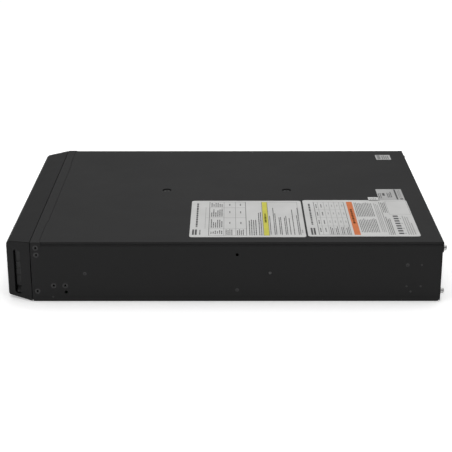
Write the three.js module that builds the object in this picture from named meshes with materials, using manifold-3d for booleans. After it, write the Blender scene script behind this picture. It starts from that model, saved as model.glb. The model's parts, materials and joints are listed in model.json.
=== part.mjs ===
// Uninterruptible power supply for a 19 inch rack, two rack units high: a folded steel chassis with a
// lift-off lid, a clip-on plastic bezel, a tilting display, a slide-out battery drawer, the power
// electronics, two rear fans and the sockets on the rear panel.
//
// Units are millimetres, +Z is up, +X is to the right of someone facing the front, and +Y runs from the
// front to the rear. Pieces are written with y = 0 at the seam between the bezel and the chassis, and the
// outer group shifts them so that the origin is under the middle of the whole object.
import * as THREE from "three";
import { mergeVertices } from "three/addons/utils/BufferGeometryUtils.js";
import Module from "manifold-3d";

const wasm = await Module();
wasm.setup();

// ---------------------------------------------------------------- driving dimensions
const WIDTH = 432; // over the side walls
const HEIGHT = 85; // two rack units, less the clearance to the next unit
const BODY_DEPTH = 549; // bezel seam to the rear panel's outer face
const BEZEL_DEPTH = 35;
const REAR_PROUD = 6; // lid screws stand this far behind the rear panel
const SHEET = 1.2; // sheet steel
const GAP = 0.3; // between pieces that rest on each other

const HALF = WIDTH / 2;
const WALL_IN = HALF - SHEET; // inner face of a side wall
const SEAT = 81; // top of the side walls, where the lid rests
const STRIP = 13.5; // depth of the full-height strip behind the bezel
const PANEL = [BODY_DEPTH - SHEET, BODY_DEPTH]; // rear panel, inner and outer face
const TRAY_END = PANEL[0] - GAP;
const FLANGE_OUT = BODY_DEPTH + GAP + SHEET; // outer face of the lid's rear flange

// Battery drawer: six blocks, two across and three deep, lying on their sides
const BLOCK = { wide: 101, deep: 90, high: 70 };
const DRAWER = { x: [-190, 18], y: [28, 305], z: [1.6, 76], sheet: 1 };
const BAY_SIDE = 2; // from the drawer to the bay's wall
const BAY_END = 312;

// Display pod, which tilts about an axis along X near its top edge
const POD = { x: [88, 178], face: -34.2, back: -12, axisY: -26, axisZ: 68, reach: 56, top: 3, wall: 2 };
const WINDOW_GAP = 1.4;

// Rear panel layout: x centres, and heights
const FAN = { size: 80, deep: 25, bore: 38, xs: [159, 69], z: 42.3 };
const TAB_XS = [209, 114, 24, -66, -156, -209];
const OUTLETS = { xs: [-7, -69], z: 44, cell: [29, 22], wide: 60, high: 46, deep: 21 };
const INLET = { x: -119, z: 19.5 };
const LARGE_OUTLET = { x: -119, z: 51.5 };
const BREAKER = { x: -119, z: 73.5, r: 4 };
const SLOT_COVER = { x: [-202, -142], z: [38, 67] };
const SERIAL = { x: -149, z: 28 };
const USB = { x: -149, z: 11.5 };
const EMERGENCY = { x: -186, z: 75.2 };
const EXTERNAL_BATTERY = { x: -181, z: 20 };
const GROUND = { x: 8, z: 11 };
const CORNER_SCREW = { x: 209, upper: 75, lower: 13, lowerProud: 5.3 };

// Holes in each side wall, as [y, z, radius]: rack-ear and foot screws at the front, rail screws behind
const EAR_HOLES = [[7, 77], [7.4, 67], [7.1, 15]];
const FOOT_HOLES = [[29, 23], [44.5, 23], [45.5, 13.8], [27.6, 6.8], [71.5, 40.5]];
const MIDDLE_HOLES = [[275.5, 67.5], [275.5, 16.8], [319.5, 41.2]];
const RAIL_HOLES = [[503, 52.6], [522, 52.6], [503, 22], [522, 22], [508.6, 14.3]];
const SIDE_HOLES = [...EAR_HOLES, ...FOOT_HOLES, ...MIDDLE_HOLES, ...RAIL_HOLES];
const SIDE_HOLE_R = 1.9;
const LID_DIMPLES = [[-7, 171.8], [-6.5, 350.5]]; // x, y of the two countersunk lid screws

// ---------------------------------------------------------------- materials
const finish = (name, color, roughness, metalness) =>
  new THREE.MeshStandardMaterial({ name, color, roughness, metalness });
const paint = finish("chassis_paint", 0x2b2b2b, 0.55, 0.2);
const bezelPlastic = finish("bezel_plastic", 0x262626, 0.5, 0);
const zinc = finish("zinc_steel", 0xb4b6b8, 0.35, 1);
const aluminium = finish("heat_sink", 0xc4c7ca, 0.4, 1);
const fibreglass = finish("circuit_board", 0x1e5b34, 0.55, 0);
const blackPlastic = finish("black_plastic", 0x161616, 0.45, 0);
const batteryPlastic = finish("battery_case", 0x35383c, 0.6, 0);
const copper = finish("winding", 0xa8622c, 0.35, 0.8);
const sleeve = finish("capacitor_sleeve", 0x22304f, 0.3, 0);
const paper = finish("label", 0xd6d6d4, 0.5, 0);
const lens = finish("display_lens", 0x0b0f12, 0.08, 0);
const knob = finish("button_plastic", 0x55585b, 0.45, 0);

// ---------------------------------------------------------------- solids
// A geometry as a solid, its shared corners merged by position.
function solid(geometry) {
  const bare = new THREE.BufferGeometry().setAttribute("position", geometry.getAttribute("position"));
  bare.setIndex(geometry.index);
  const merged = mergeVertices(bare, 1e-4);
  const vertProperties = merged.getAttribute("position").array;
  const triVerts = new Uint32Array(merged.index.array);
  return new wasm.Manifold(new wasm.Mesh({ numProp: 3, vertProperties, triVerts }));
}

const join = (...parts) => parts.reduce((a, b) => a.add(b));
const cut = (body, ...tools) => tools.reduce((a, b) => a.subtract(b), body);

function box([x0, x1], [y0, y1], [z0, z1]) {
  const g = new THREE.BoxGeometry(x1 - x0, y1 - y0, z1 - z0);
  return solid(g.translate((x0 + x1) / 2, (y0 + y1) / 2, (z0 + z1) / 2));
}

// Round bars along X, Y and Z
function barX(y, z, r, [x0, x1], sides = 12) {
  const g = new THREE.CylinderGeometry(r, r, x1 - x0, sides).rotateZ(Math.PI / 2);
  return solid(g.translate((x0 + x1) / 2, y, z));
}

function barY(x, z, r, [y0, y1], sides = 12, rearR = r) {
  const g = new THREE.CylinderGeometry(rearR, r, y1 - y0, sides);
  return solid(g.translate(x, (y0 + y1) / 2, z));
}

function barZ(x, y, r, [z0, z1], sides = 12, topR = r) {
  const g = new THREE.CylinderGeometry(topR, r, z1 - z0, sides).rotateX(Math.PI / 2);
  return solid(g.translate(x, y, (z0 + z1) / 2));
}

const asShape = (points) => new THREE.Shape(points.map(([a, b]) => new THREE.Vector2(a, b)));
const raise = (shape, depth) => new THREE.ExtrudeGeometry(shape, { depth, bevelEnabled: false });

// Outlines pushed along Z, X and Y: in plan, seen from the side, and seen from the front
const slabXY = (points, [z0, z1]) => solid(raise(asShape(points), z1 - z0).translate(0, 0, z0));

function slabYZ(points, [x0, x1]) {
  const turn = new THREE.Matrix4().makeBasis(
    new THREE.Vector3(0, 1, 0), new THREE.Vector3(0, 0, 1), new THREE.Vector3(1, 0, 0));
  return solid(raise(asShape(points), x1 - x0).applyMatrix4(turn).translate(x0, 0, 0));
}

function slabXZ(points, [y0, y1]) {
  return solid(raise(asShape(points), y1 - y0).rotateX(Math.PI / 2).translate(0, y1, 0));
}

const mirrorX = (body) => body.mirror([1, 0, 0]);
const bothSides = (body) => [body, mirrorX(body)];

// A rectangle's corners with an arc of radius r at each
function roundedCorners([a0, a1], [b0, b1], r, steps = 3) {
  const centres = [[a1 - r, b0 + r, -90], [a1 - r, b1 - r, 0], [a0 + r, b1 - r, 90], [a0 + r, b0 + r, 180]];
  return centres.flatMap(([a, b, start]) =>
    Array.from({ length: steps + 1 }, (_, i) => {
      const t = THREE.MathUtils.degToRad(start + (90 * i) / steps);
      return [a + r * Math.cos(t), b + r * Math.sin(t)];
    }));
}

// ---------------------------------------------------------------- the scene graph
const ups = new THREE.Group();
ups.position.y = -(BODY_DEPTH + REAR_PROUD - BEZEL_DEPTH) / 2;

function assembly(x = 0, y = 0, z = 0) {
  const group = new THREE.Group();
  group.position.set(x, y, z);
  ups.add(group);
  return group;
}

const chassis = assembly();
const drawer = assembly();
const door = assembly();
const bezel = assembly();
const display = assembly(0, POD.axisY, POD.axisZ);

function piece(group, name, body, material) {
  const { numVert, vertProperties, triVerts } = body.getMesh();
  const geometry = new THREE.BufferGeometry()
    .setAttribute("position", new THREE.BufferAttribute(vertProperties.slice(0, numVert * 3), 3))
    .setIndex(new THREE.BufferAttribute(triVerts, 1));
  geometry.computeVertexNormals();
  const mesh = new THREE.Mesh(geometry, material);
  mesh.name = name;
  group.add(mesh);
  return mesh;
}

// ---------------------------------------------------------------- chassis shell
// Base, side walls with an inward top flange for the lid, taller horns at the front strip, rear flanges
// that the rear panel screws to, and standoffs under the power board.
const STANDOFFS = [[40, 40], [190, 40], [40, 300], [190, 500], [-190, 500], [-190, 340]];
const BOARD_Z = 8;

function chassisTray() {
  const rearFlange = box([203, HALF], [TRAY_END - SHEET, TRAY_END], [0, SEAT]);
  const side = join(
    box([WALL_IN, HALF], [0, TRAY_END], [0, SEAT]),
    box([WALL_IN, HALF], [0, STRIP], [0, HEIGHT]),
    box([206, HALF], [STRIP, TRAY_END], [SEAT - SHEET, SEAT]),
    rearFlange,
  );
  const shell = join(
    box([-HALF, HALF], [0, TRAY_END], [0, SHEET]),
    ...bothSides(side),
    ...STANDOFFS.map(([x, y]) => barZ(x, y, 3, [0.5, BOARD_Z - GAP], 8)),
  );
  const sideHoles = SIDE_HOLES.map(([y, z]) => barX(y, z, SIDE_HOLE_R, [WALL_IN - 1, HALF + 1], 8));
  const screwHoles = [CORNER_SCREW.upper, CORNER_SCREW.lower].map((z) =>
    barY(CORNER_SCREW.x, z, 2, [TRAY_END - 3, TRAY_END + 1], 8));
  return cut(shell, ...[...sideHoles, ...screwHoles].flatMap(bothSides));
}

piece(chassis, "chassis_tray", chassisTray(), paint);

// Front plate with the battery opening, air slots, cable hole and bezel-clip holes. Its top flange is the
// strip between bezel and lid; the strip's rear edge has two shallow steps, and a joggled ledge behind it
// carries the lid.
const FRAME_Y = [1, 1 + SHEET];
const CLIP = { x: 207.5, zs: [20, 67] };
const OPENING_X = [DRAWER.x[0] - 1.5, DRAWER.x[1] + 1.5];
const DOOR_SCREW_XS = [-197.5, 25.5];
const DOOR_SCREW_Z = 42.5;
const STEP_XS = [130, 145]; // where the strip's rear edge steps forward, on each side

function frontFrame() {
  const edge = HALF - SHEET - GAP;
  const stripBack = STRIP - GAP;
  const [inner, outer] = STEP_XS;
  const strip = slabXY(
    [[-edge, 0], [edge, 0], [edge, stripBack - 1.5], [outer, stripBack - 1.5], [inner, stripBack],
      [-inner, stripBack], [-outer, stripBack - 1.5], [-edge, stripBack - 1.5]],
    [HEIGHT - SHEET, HEIGHT]);
  const frame = join(
    box([-edge, edge], FRAME_Y, [SHEET + GAP, HEIGHT - 0.5]),
    strip,
    box([-203, 203], [9, 10.2], [HEIGHT - 2.9, HEIGHT - 0.5]),
    box([-203, 203], [9, 26], [HEIGHT - 2.9, HEIGHT - 1.7]),
  );
  const through = [FRAME_Y[0] - 1, FRAME_Y[1] + 1];
  const airSlots = Array.from({ length: 5 }, (_, i) => box([40 + 9 * i, 44 + 9 * i], through, [14, 72]));
  const clipHoles = CLIP.zs.map((z) => box([CLIP.x - 3.5, CLIP.x + 3.5], through, [z - 5.5, z + 5.5]));
  const screwHoles = DOOR_SCREW_XS.map((x) => barY(x, DOOR_SCREW_Z, 2.6, through, 10));
  return cut(
    frame,
    box(OPENING_X, through, [0, 78.5]),
    box([112, 154], through, [34, 50]),
    ...airSlots,
    ...clipHoles.flatMap(bothSides),
    ...screwHoles,
  );
}

piece(chassis, "front_frame", frontFrame(), paint);

// The lid's top, side flanges that stand inside the line of the walls, and a rear lip with screw tabs.
function topCover() {
  const edge = WALL_IN - GAP;
  const front = STRIP + GAP;
  const [inner, outer] = STEP_XS;
  const top = slabXY(
    [[-edge, front - 1.5], [-outer, front - 1.5], [-inner, front], [inner, front], [outer, front - 1.5],
      [edge, front - 1.5], [edge, FLANGE_OUT], [-edge, FLANGE_OUT]],
    [HEIGHT - SHEET, HEIGHT]);
  const flange = box([edge - SHEET, edge], [front - 1.5, FLANGE_OUT], [SEAT + GAP, HEIGHT - 0.5]);
  const lip = box([-edge, edge], [FLANGE_OUT - SHEET, FLANGE_OUT], [80.5, HEIGHT - 0.5]);
  const tabs = TAB_XS.map((x) => {
    const half = Math.abs(x) > 200 ? edge - CORNER_SCREW.x : 4.6;
    return box([x - half, x + half], [FLANGE_OUT - SHEET, FLANGE_OUT], [69.5, HEIGHT - 0.5]);
  });
  const dimples = LID_DIMPLES.map(([x, y]) => barZ(x, y, 3.2, [HEIGHT - SHEET - 1, HEIGHT + 1], 16, 7.5));
  const screwHoles = bothSides(
    barY(CORNER_SCREW.x, CORNER_SCREW.upper, 2, [FLANGE_OUT - 2, FLANGE_OUT + 1], 8));
  return cut(join(top, ...bothSides(flange), lip, ...tabs), ...dimples, ...screwHoles);
}

piece(chassis, "top_cover", topCover(), paint);

// ---------------------------------------------------------------- rear panel
// Stamped finger guard in front of a fan: three ring gaps, crossed by four spokes.
function guardGaps(x) {
  const through = [PANEL[0] - 1, PANEL[1] + 1];
  const rings = [[30, 37], [21, 28], [12, 19]].map(([inner, outer]) =>
    cut(barY(x, FAN.z, outer, through, 20), barY(x, FAN.z, inner, through, 20)));
  const spoke = box([-1.8, 1.8], through, [-40, 40]);
  const spokes = [45, 135].map((turn) => spoke.rotate([0, turn, 0]).translate([x, 0, FAN.z]));
  return cut(join(...rings), ...spokes);
}

function rearPanel() {
  const through = [PANEL[0] - 1, PANEL[1] + 1];
  const hole = (x, z, w, h) => box([x - w / 2, x + w / 2], through, [z - h / 2, z + h / 2]);
  const screws = [CORNER_SCREW.upper, CORNER_SCREW.lower].map((z) => barY(CORNER_SCREW.x, z, 2, through, 8));
  return cut(
    box([-215.7, 215.7], PANEL, [GAP, 80.2]),
    ...FAN.xs.map(guardGaps),
    ...OUTLETS.xs.map((x) => hole(x, OUTLETS.z, OUTLETS.wide - 2, OUTLETS.high - 2)),
    hole(INLET.x, INLET.z, 33, 26),
    hole(LARGE_OUTLET.x, LARGE_OUTLET.z, 33, 26),
    barY(BREAKER.x, BREAKER.z, 4.8, through, 16),
    hole((SLOT_COVER.x[0] + SLOT_COVER.x[1]) / 2, (SLOT_COVER.z[0] + SLOT_COVER.z[1]) / 2, 52, 22),
    hole(SERIAL.x, SERIAL.z, 17, 14.6),
    hole(USB.x, USB.z, 13, 12),
    hole(EMERGENCY.x, EMERGENCY.z, 21, 7.4),
    hole(EXTERNAL_BATTERY.x, EXTERNAL_BATTERY.z, 37, 19),
    barY(GROUND.x, GROUND.z, 2.4, through, 8),
    ...screws.flatMap(bothSides),
  );
}

piece(chassis, "rear_panel", rearPanel(), paint);

// Fan housing: square body, round bore, four struts holding the motor cup at the rear.
function fanFrame(x) {
  const half = FAN.size / 2;
  const end = PANEL[0] - GAP;
  const start = end - FAN.deep;
  const body = cut(
    box([x - half, x + half], [start, end], [FAN.z - half, FAN.z + half]),
    barY(x, FAN.z, FAN.bore, [start - 1, end + 1], 28));
  const cup = barY(x, FAN.z, 17, [end - 5, end - 0.5], 16);
  const strut = box([-2, 2], [end - 4, end - 1], [-39, 39]);
  const struts = [45, 135].map((turn) => strut.rotate([0, turn, 0]).translate([x, 0, FAN.z]));
  const shaftHole = barY(x, FAN.z, 2, [end - 6, end - 2], 8);
  return cut(join(body, cup, ...struts), shaftHole);
}

// Rotor about its own axis, with y = 0 at the front of the fan housing.
function fanRotor() {
  const hub = join(barY(0, 0, 17.5, [1, FAN.deep - 5.6], 20), barY(0, 0, 1.5, [5, FAN.deep - 2.6], 8));
  const blade = box([-0.9, 0.9], [-9, 9], [15, 36]).rotate([0, 0, 38]).translate([0, 10.5, 0]);
  const blades = Array.from({ length: 7 }, (_, i) => blade.rotate([0, (360 / 7) * i, 0]));
  return join(hub, ...blades);
}

FAN.xs.forEach((x, i) => {
  const side = ["right", "left"][i];
  piece(chassis, `fan_frame_${side}`, fanFrame(x), blackPlastic);
  const rotor = piece(chassis, `fan_rotor_${side}`, fanRotor(), blackPlastic);
  rotor.position.set(x, PANEL[0] - GAP - FAN.deep, FAN.z);
});

// One appliance outlet: a groove round a raised centre, and three contact slots. Two corners are cut off.
function outletTools(x, z, [w, h], groove, depth, face) {
  const outline = (a, b) => {
    const c = b * 0.3;
    const corners = [[-a, -b], [a, -b], [a, b - c], [a - c, b], [c - a, b], [-a, b - c]];
    return corners.map(([p, q]) => [x + p, z + q]);
  };
  const range = [face - depth, face + 1];
  const centre = slabXZ(outline(w / 2 - groove, h / 2 - groove), range);
  const ring = cut(slabXZ(outline(w / 2, h / 2), range), centre);
  const slots = [[-w / 4, -h / 10], [w / 4, -h / 10], [0, h / 6]].map(([dx, dz]) =>
    box([x + dx - 1.2, x + dx + 1.2], range, [z + dz - 2.4, z + dz + 2.4]));
  return [ring, ...slots];
}

function outletBlock(x) {
  const face = BODY_DEPTH + 1;
  const [w, h] = OUTLETS.cell;
  const body = join(
    box([x - 30, x + 30], [BODY_DEPTH + GAP, face], [OUTLETS.z - 23, OUTLETS.z + 23]),
    box([x - 28.6, x + 28.6], [face - OUTLETS.deep, face - 0.2], [OUTLETS.z - 21.6, OUTLETS.z + 21.6]));
  const cells = [[-1, -1], [1, -1], [-1, 1], [1, 1]].flatMap(([i, j]) =>
    outletTools(x + (i * w) / 2, OUTLETS.z + (j * h) / 2, [25.6, 18.4], 2, 14, face));
  return cut(body, ...cells);
}

OUTLETS.xs.forEach((x, i) =>
  piece(chassis, `outlet_block_${["right", "left"][i]}`, outletBlock(x), blackPlastic));

// Flange outside the panel and body behind it, shared by the single sockets.
function socketBody({ x, z }, [flangeW, flangeH], [bodyW, bodyH], deep, proud = 1.5) {
  const outer = BODY_DEPTH + proud;
  return join(
    box([x - flangeW / 2, x + flangeW / 2], [BODY_DEPTH + GAP, outer], [z - flangeH / 2, z + flangeH / 2]),
    box([x - bodyW / 2, x + bodyW / 2], [outer - deep, outer - 0.2], [z - bodyH / 2, z + bodyH / 2]));
}

function largeOutlet() {
  const body = socketBody(LARGE_OUTLET, [36, 28.5], [32.4, 25.4], 22);
  const face = BODY_DEPTH + 1.5;
  return cut(body, ...outletTools(LARGE_OUTLET.x, LARGE_OUTLET.z, [29.6, 22.6], 2.4, 15, face));
}

// Mains inlet: an open cavity with three blades standing in it.
const INLET_CAVITY = { x: 13.6, z: 10.3, deep: 16 };

function acInlet() {
  const { x, z } = INLET;
  const face = BODY_DEPTH + 1.5;
  const floor = face - INLET_CAVITY.deep;
  const cavity = box(
    [x - INLET_CAVITY.x, x + INLET_CAVITY.x], [floor, face + 1], [z - INLET_CAVITY.z, z + INLET_CAVITY.z]);
  const blades = [[-6.5, -4.5], [6.5, -4.5], [0, -0.5]].map(([dx, dz]) =>
    box([x + dx - 3, x + dx + 3], [floor - 1, face - 3], [z + dz - 1, z + dz + 1]));
  return join(cut(socketBody(INLET, [36, 28.5], [32.4, 25.4], 22), cavity), ...blades);
}

piece(chassis, "outlet_large", largeOutlet(), blackPlastic);
piece(chassis, "ac_inlet", acInlet(), blackPlastic);

// Resettable breaker: a body with a round collar, and the button that pops out of it.
function circuitBreaker() {
  const { x, z, r } = BREAKER;
  const body = join(
    box([x - 7, x + 7], [520, PANEL[0] - GAP], [z - 7, z + 7]),
    barY(x, z, 4.5, [540, BODY_DEPTH + 1.6], 16),
    barY(x, z, 5.8, [BODY_DEPTH + GAP, BODY_DEPTH + 1.6], 16));
  return cut(body, barY(x, z, r - 0.7, [532, 560], 16));
}

piece(chassis, "circuit_breaker", circuitBreaker(), blackPlastic);
piece(chassis, "breaker_button",
  barY(BREAKER.x, BREAKER.z, BREAKER.r - 1, [538, BODY_DEPTH + 2.6], 16), knob);

// Blank plate over the accessory-card slot, with a finger rib.
function slotCover() {
  const [x0, x1] = SLOT_COVER.x;
  const [z0, z1] = SLOT_COVER.z;
  const outer = BODY_DEPTH + GAP + SHEET;
  return join(
    box([x0, x1], [BODY_DEPTH + GAP, outer], [z0, z1]),
    box([x0 + 24, x1 - 24], [outer - 0.2, outer + 1.5], [z0 + 13, z0 + 16]));
}

piece(chassis, "slot_cover", slotCover(), paint);

// Jacks with a plain cavity, w wide and h high
function jack({ x, z }, flange, body, [w, h], deep, cavityDeep) {
  const face = BODY_DEPTH + 1.2;
  const cavity = box([x - w / 2, x + w / 2], [face - cavityDeep, face + 1], [z - h / 2, z + h / 2]);
  return cut(socketBody({ x, z }, flange, body, deep, 1.2), cavity);
}

const usbTongue = box(
  [USB.x - 2.8, USB.x + 2.8], [BODY_DEPTH - 11, BODY_DEPTH - 1], [USB.z - 1.6, USB.z + 1.6]);
piece(chassis, "serial_port", jack(SERIAL, [18, 15.6], [16.4, 14], [11.8, 8.4], 16, 13), blackPlastic);
piece(chassis, "usb_port", join(jack(USB, [14, 13], [12.4, 11.4], [8.6, 7.9], 16, 12), usbTongue), zinc);
piece(chassis, "epo_socket", jack(EMERGENCY, [22, 8.4], [20.4, 6.8], [17, 4.8], 12, 8), blackPlastic);
piece(chassis, "external_battery_socket",
  jack(EXTERNAL_BATTERY, [40, 22], [36.4, 18.4], [31, 13], 26, 20), blackPlastic);

// ---------------------------------------------------------------- screws that show
// Pan head with a washer face, its shank running forward.
function panScrew(x, z, seat, tip, proud, r = 4.2) {
  return join(
    barY(x, z, r, [seat, seat + proud * 0.6], 16),
    barY(x, z, r, [seat + proud * 0.6, seat + proud], 16, r * 0.72),
    barY(x, z, 1.6, [tip, seat + 0.2], 8));
}

const upperSeat = FLANGE_OUT + GAP;
const lowerSeat = BODY_DEPTH + GAP;
const upperScrew = (x) =>
  panScrew(x, CORNER_SCREW.upper, upperSeat, TRAY_END - 5, BODY_DEPTH + REAR_PROUD - upperSeat);
const lowerScrew = (x) =>
  panScrew(x, CORNER_SCREW.lower, lowerSeat, TRAY_END - 5, CORNER_SCREW.lowerProud);
piece(chassis, "corner_screw_upper_right", upperScrew(CORNER_SCREW.x), zinc);
piece(chassis, "corner_screw_upper_left", upperScrew(-CORNER_SCREW.x), zinc);
piece(chassis, "corner_screw_lower_right", lowerScrew(CORNER_SCREW.x), zinc);
piece(chassis, "corner_screw_lower_left", lowerScrew(-CORNER_SCREW.x), zinc);
piece(chassis, "ground_screw", panScrew(GROUND.x, GROUND.z, lowerSeat, BODY_DEPTH - 9, 3.1, 4), zinc);

// ---------------------------------------------------------------- labels on the lid
// Sheets of self-adhesive paper: the left one plain, the right one with a smaller sheet beside its corner.
const LABEL_Z = [HEIGHT + 0.05, HEIGHT + 0.25];
const LABEL_FRONT = { x: [44, 196], y: [211, 368.5] };
const LABEL_REAR = { x: [40.5, 193.5], y: [371.2, 522.5] };
const LABEL_EXTRA = { x: [-12.8, 41], y: [481.5, 521.5] };
const labelSheet = ({ x, y }, r) => slabXY(roundedCorners(x, y, r), LABEL_Z);
piece(chassis, "label_front", labelSheet(LABEL_FRONT, 4), paper);
piece(chassis, "label_rear", join(labelSheet(LABEL_REAR, 4), labelSheet(LABEL_EXTRA, 0.8)), paper);

// ---------------------------------------------------------------- battery bay and its socket
// Tunnel of two walls, a roof and an end wall that stops the drawer, with a hole for the plug.
const PLUG = { x: [-24, 6], z: [28, 48] };

function batteryBay() {
  const [x0, x1] = [DRAWER.x[0] - BAY_SIDE, DRAWER.x[1] + BAY_SIDE];
  const z = [SHEET + GAP, 79.4];
  const shell = join(
    box([x0 - SHEET, x0], [3, BAY_END], z),
    box([x1, x1 + SHEET], [3, BAY_END], z),
    box([x0 - SHEET, x1 + SHEET], [3, BAY_END], [z[1] - SHEET, z[1]]),
    box([x0 - SHEET, x1 + SHEET], [BAY_END - SHEET, BAY_END], z));
  return cut(shell, box([PLUG.x[0] - 1.5, PLUG.x[1] + 1.5], [BAY_END - 3, BAY_END + 1],
    [PLUG.z[0] - 1.5, PLUG.z[1] + 1.5]));
}

function batterySocket() {
  return cut(
    box([PLUG.x[0] - 5, PLUG.x[1] + 5], [BAY_END + GAP, BAY_END + 22], [PLUG.z[0] - 5, PLUG.z[1] + 5]),
    box([PLUG.x[0] - 1, PLUG.x[1] + 1], [BAY_END, BAY_END + 8], [PLUG.z[0] - 1, PLUG.z[1] + 1]));
}

piece(chassis, "battery_bay", batteryBay(), zinc);
piece(chassis, "battery_socket", batterySocket(), blackPlastic);

// ---------------------------------------------------------------- electronics
const PARTS_Z = BOARD_Z + 1.6 + GAP; // where parts stand on the power board

function powerBoard() {
  const outline = [[26, 20], [206, 20], [206, 512], [-206, 512], [-206, 322], [26, 322]];
  return slabXY(outline, [BOARD_Z, BOARD_Z + 1.6]);
}

// Extruded comb: a base with upright fins, the extrusion running front to rear.
function heatSink([x0, x1], y, fins) {
  const base = 6;
  const top = 74;
  const pitch = (x1 - x0 - 2) / (fins - 1);
  const comb = [[x0, PARTS_Z], [x1, PARTS_Z]];
  for (let i = fins - 1; i >= 0; i--) {
    const left = x0 + i * pitch;
    comb.push([left + 2, top], [left, top]);
    if (i > 0) comb.push([left, PARTS_Z + base], [left - pitch + 2, PARTS_Z + base]);
  }
  return slabXZ(comb, y);
}

function ringChoke(x, y) {
  const [inner, outer, z0, z1, soft] = [11, 27, PARTS_Z, PARTS_Z + 26, 4];
  const profile = [[inner, z0 + soft], [inner + soft, z0], [outer - soft, z0], [outer, z0 + soft],
    [outer, z1 - soft], [outer - soft, z1], [inner + soft, z1], [inner, z1 - soft], [inner, z0 + soft]];
  const lathe = new THREE.LatheGeometry(profile.map(([r, z]) => new THREE.Vector2(r, z)), 20);
  return solid(lathe.rotateX(Math.PI / 2)).translate([x, y, 0]);
}

function transformer([x0, x1], [y0, y1]) {
  const z1 = PARTS_Z + 44;
  return join(
    box([x0, x1], [y0 + 8, y1 - 8], [PARTS_Z + 2, z1]),
    box([x0 + 8, x1 - 8], [y0, y1], [PARTS_Z + 8, z1 - 6]),
    box([x0 + 2, x1 - 2], [y0 + 2, y1 - 2], [PARTS_Z, PARTS_Z + 4]));
}

piece(chassis, "power_board", powerBoard(), fibreglass);
piece(chassis, "heat_sink_rectifier", heatSink([44, 112], [60, 230], 9), aluminium);
piece(chassis, "heat_sink_inverter", heatSink([40, 136], [345, 490], 12), aluminium);
[75, 117, 159].forEach((y, i) =>
  piece(chassis, `bus_capacitor_${i + 1}`, barZ(160, y, 17.5, [PARTS_Z, PARTS_Z + 50], 20), sleeve));
piece(chassis, "charger_transformer", transformer([132, 188], [220, 280]), copper);
piece(chassis, "input_choke", ringChoke(-40, 372), copper);
piece(chassis, "output_choke", ringChoke(-40, 446), copper);
piece(chassis, "control_board", box([-120, -118.4], [335, 500], [PARTS_Z, 70]), fibreglass);

// ---------------------------------------------------------------- battery drawer
// Open-topped tray with a full-height front and rear, six blocks, a pull handle and a blind-mating plug.
function batteryTray() {
  const { x, y, z, sheet } = DRAWER;
  const low = [z[0], 44];
  return join(
    box(x, y, [z[0], z[0] + sheet]),
    box([x[0], x[0] + sheet], y, low),
    box([x[1] - sheet, x[1]], y, low),
    box(x, [y[0], y[0] + sheet], z),
    box(x, [y[1] - sheet, y[1]], z));
}

piece(drawer, "battery_tray", batteryTray(), zinc);
[0, 1, 2].forEach((row) =>
  [0, 1].forEach((column) => {
    const x = DRAWER.x[0] + 2 + column * (BLOCK.wide + 2);
    const y = DRAWER.y[0] + 2 + row * (BLOCK.deep + 1);
    const z = DRAWER.z[0] + DRAWER.sheet + GAP;
    const top = z + BLOCK.high;
    const body = join(
      box([x, x + BLOCK.wide], [y, y + BLOCK.deep], [z, top]),
      box([x + 2, x + BLOCK.wide - 2], [y + 2, y + BLOCK.deep - 2], [top - 0.5, top + 1.5]));
    piece(drawer, `battery_block_${row * 2 + column + 1}`, body, batteryPlastic);
  }));

// A bow of plastic that stands off the drawer's front, with a gap behind it for the fingers.
const HANDLE = { x: [-136, -36], z: [34, 46], front: 5.5 };

function batteryHandle() {
  const { x, z, front } = HANDLE;
  const back = DRAWER.y[0] - GAP;
  const bow = [[x[0], back], [x[0], front + 7], [x[0] + 7, front], [x[1] - 7, front], [x[1], front + 7],
    [x[1], back], [x[1] - 9, back], [x[1] - 9, front + 5], [x[0] + 9, front + 5], [x[0] + 9, back]];
  return slabXY(bow, z);
}

piece(drawer, "battery_handle", batteryHandle(), blackPlastic);
piece(drawer, "battery_plug",
  box([PLUG.x[0], PLUG.x[1]], [DRAWER.y[1] + GAP, BAY_END + 6], [PLUG.z[0], PLUG.z[1]]), blackPlastic);

// ---------------------------------------------------------------- battery door
// Flat plate over the opening, held by two captive thumb screws.
const DOOR_Y = [FRAME_Y[0] - GAP - SHEET, FRAME_Y[0] - GAP];

function batteryDoor() {
  const [x0, x1] = [-203.5, 31.5];
  const [z0, z1] = [4, 81];
  const lipY = [DOOR_Y[0] - 4, DOOR_Y[1]];
  const plate = join(
    box([x0, x1], DOOR_Y, [z0, z1]),
    box([x0 + 20, x1 - 20], lipY, [z1 - SHEET, z1]),
    box([x0 + 20, x1 - 20], lipY, [z0, z0 + SHEET]));
  const holes = DOOR_SCREW_XS.map((x) => barY(x, DOOR_SCREW_Z, 2.4, [DOOR_Y[0] - 1, DOOR_Y[1] + 1], 10));
  return cut(plate, ...holes);
}

function thumbScrew() {
  const seat = DOOR_Y[0] - GAP;
  const knurled = new THREE.Shape(Array.from({ length: 32 }, (_, i) => {
    const r = i % 2 ? 4.5 : 5;
    return new THREE.Vector2(r * Math.cos((i * Math.PI) / 16), r * Math.sin((i * Math.PI) / 16));
  }));
  const head = solid(raise(knurled, 7).rotateX(Math.PI / 2).translate(0, seat, 0));
  return cut(
    join(head, barY(0, 0, 1.8, [seat - 0.2, 12], 10)),
    box([-4, 4], [seat - 8, seat - 5.8], [-0.6, 0.6]));
}

piece(door, "battery_door", batteryDoor(), zinc);
DOOR_SCREW_XS.forEach((x, i) => {
  const screw = piece(door, `door_screw_${["left", "right"][i]}`, thumbScrew(), zinc);
  screw.position.set(x, 0, DOOR_SCREW_Z);
});

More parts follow.
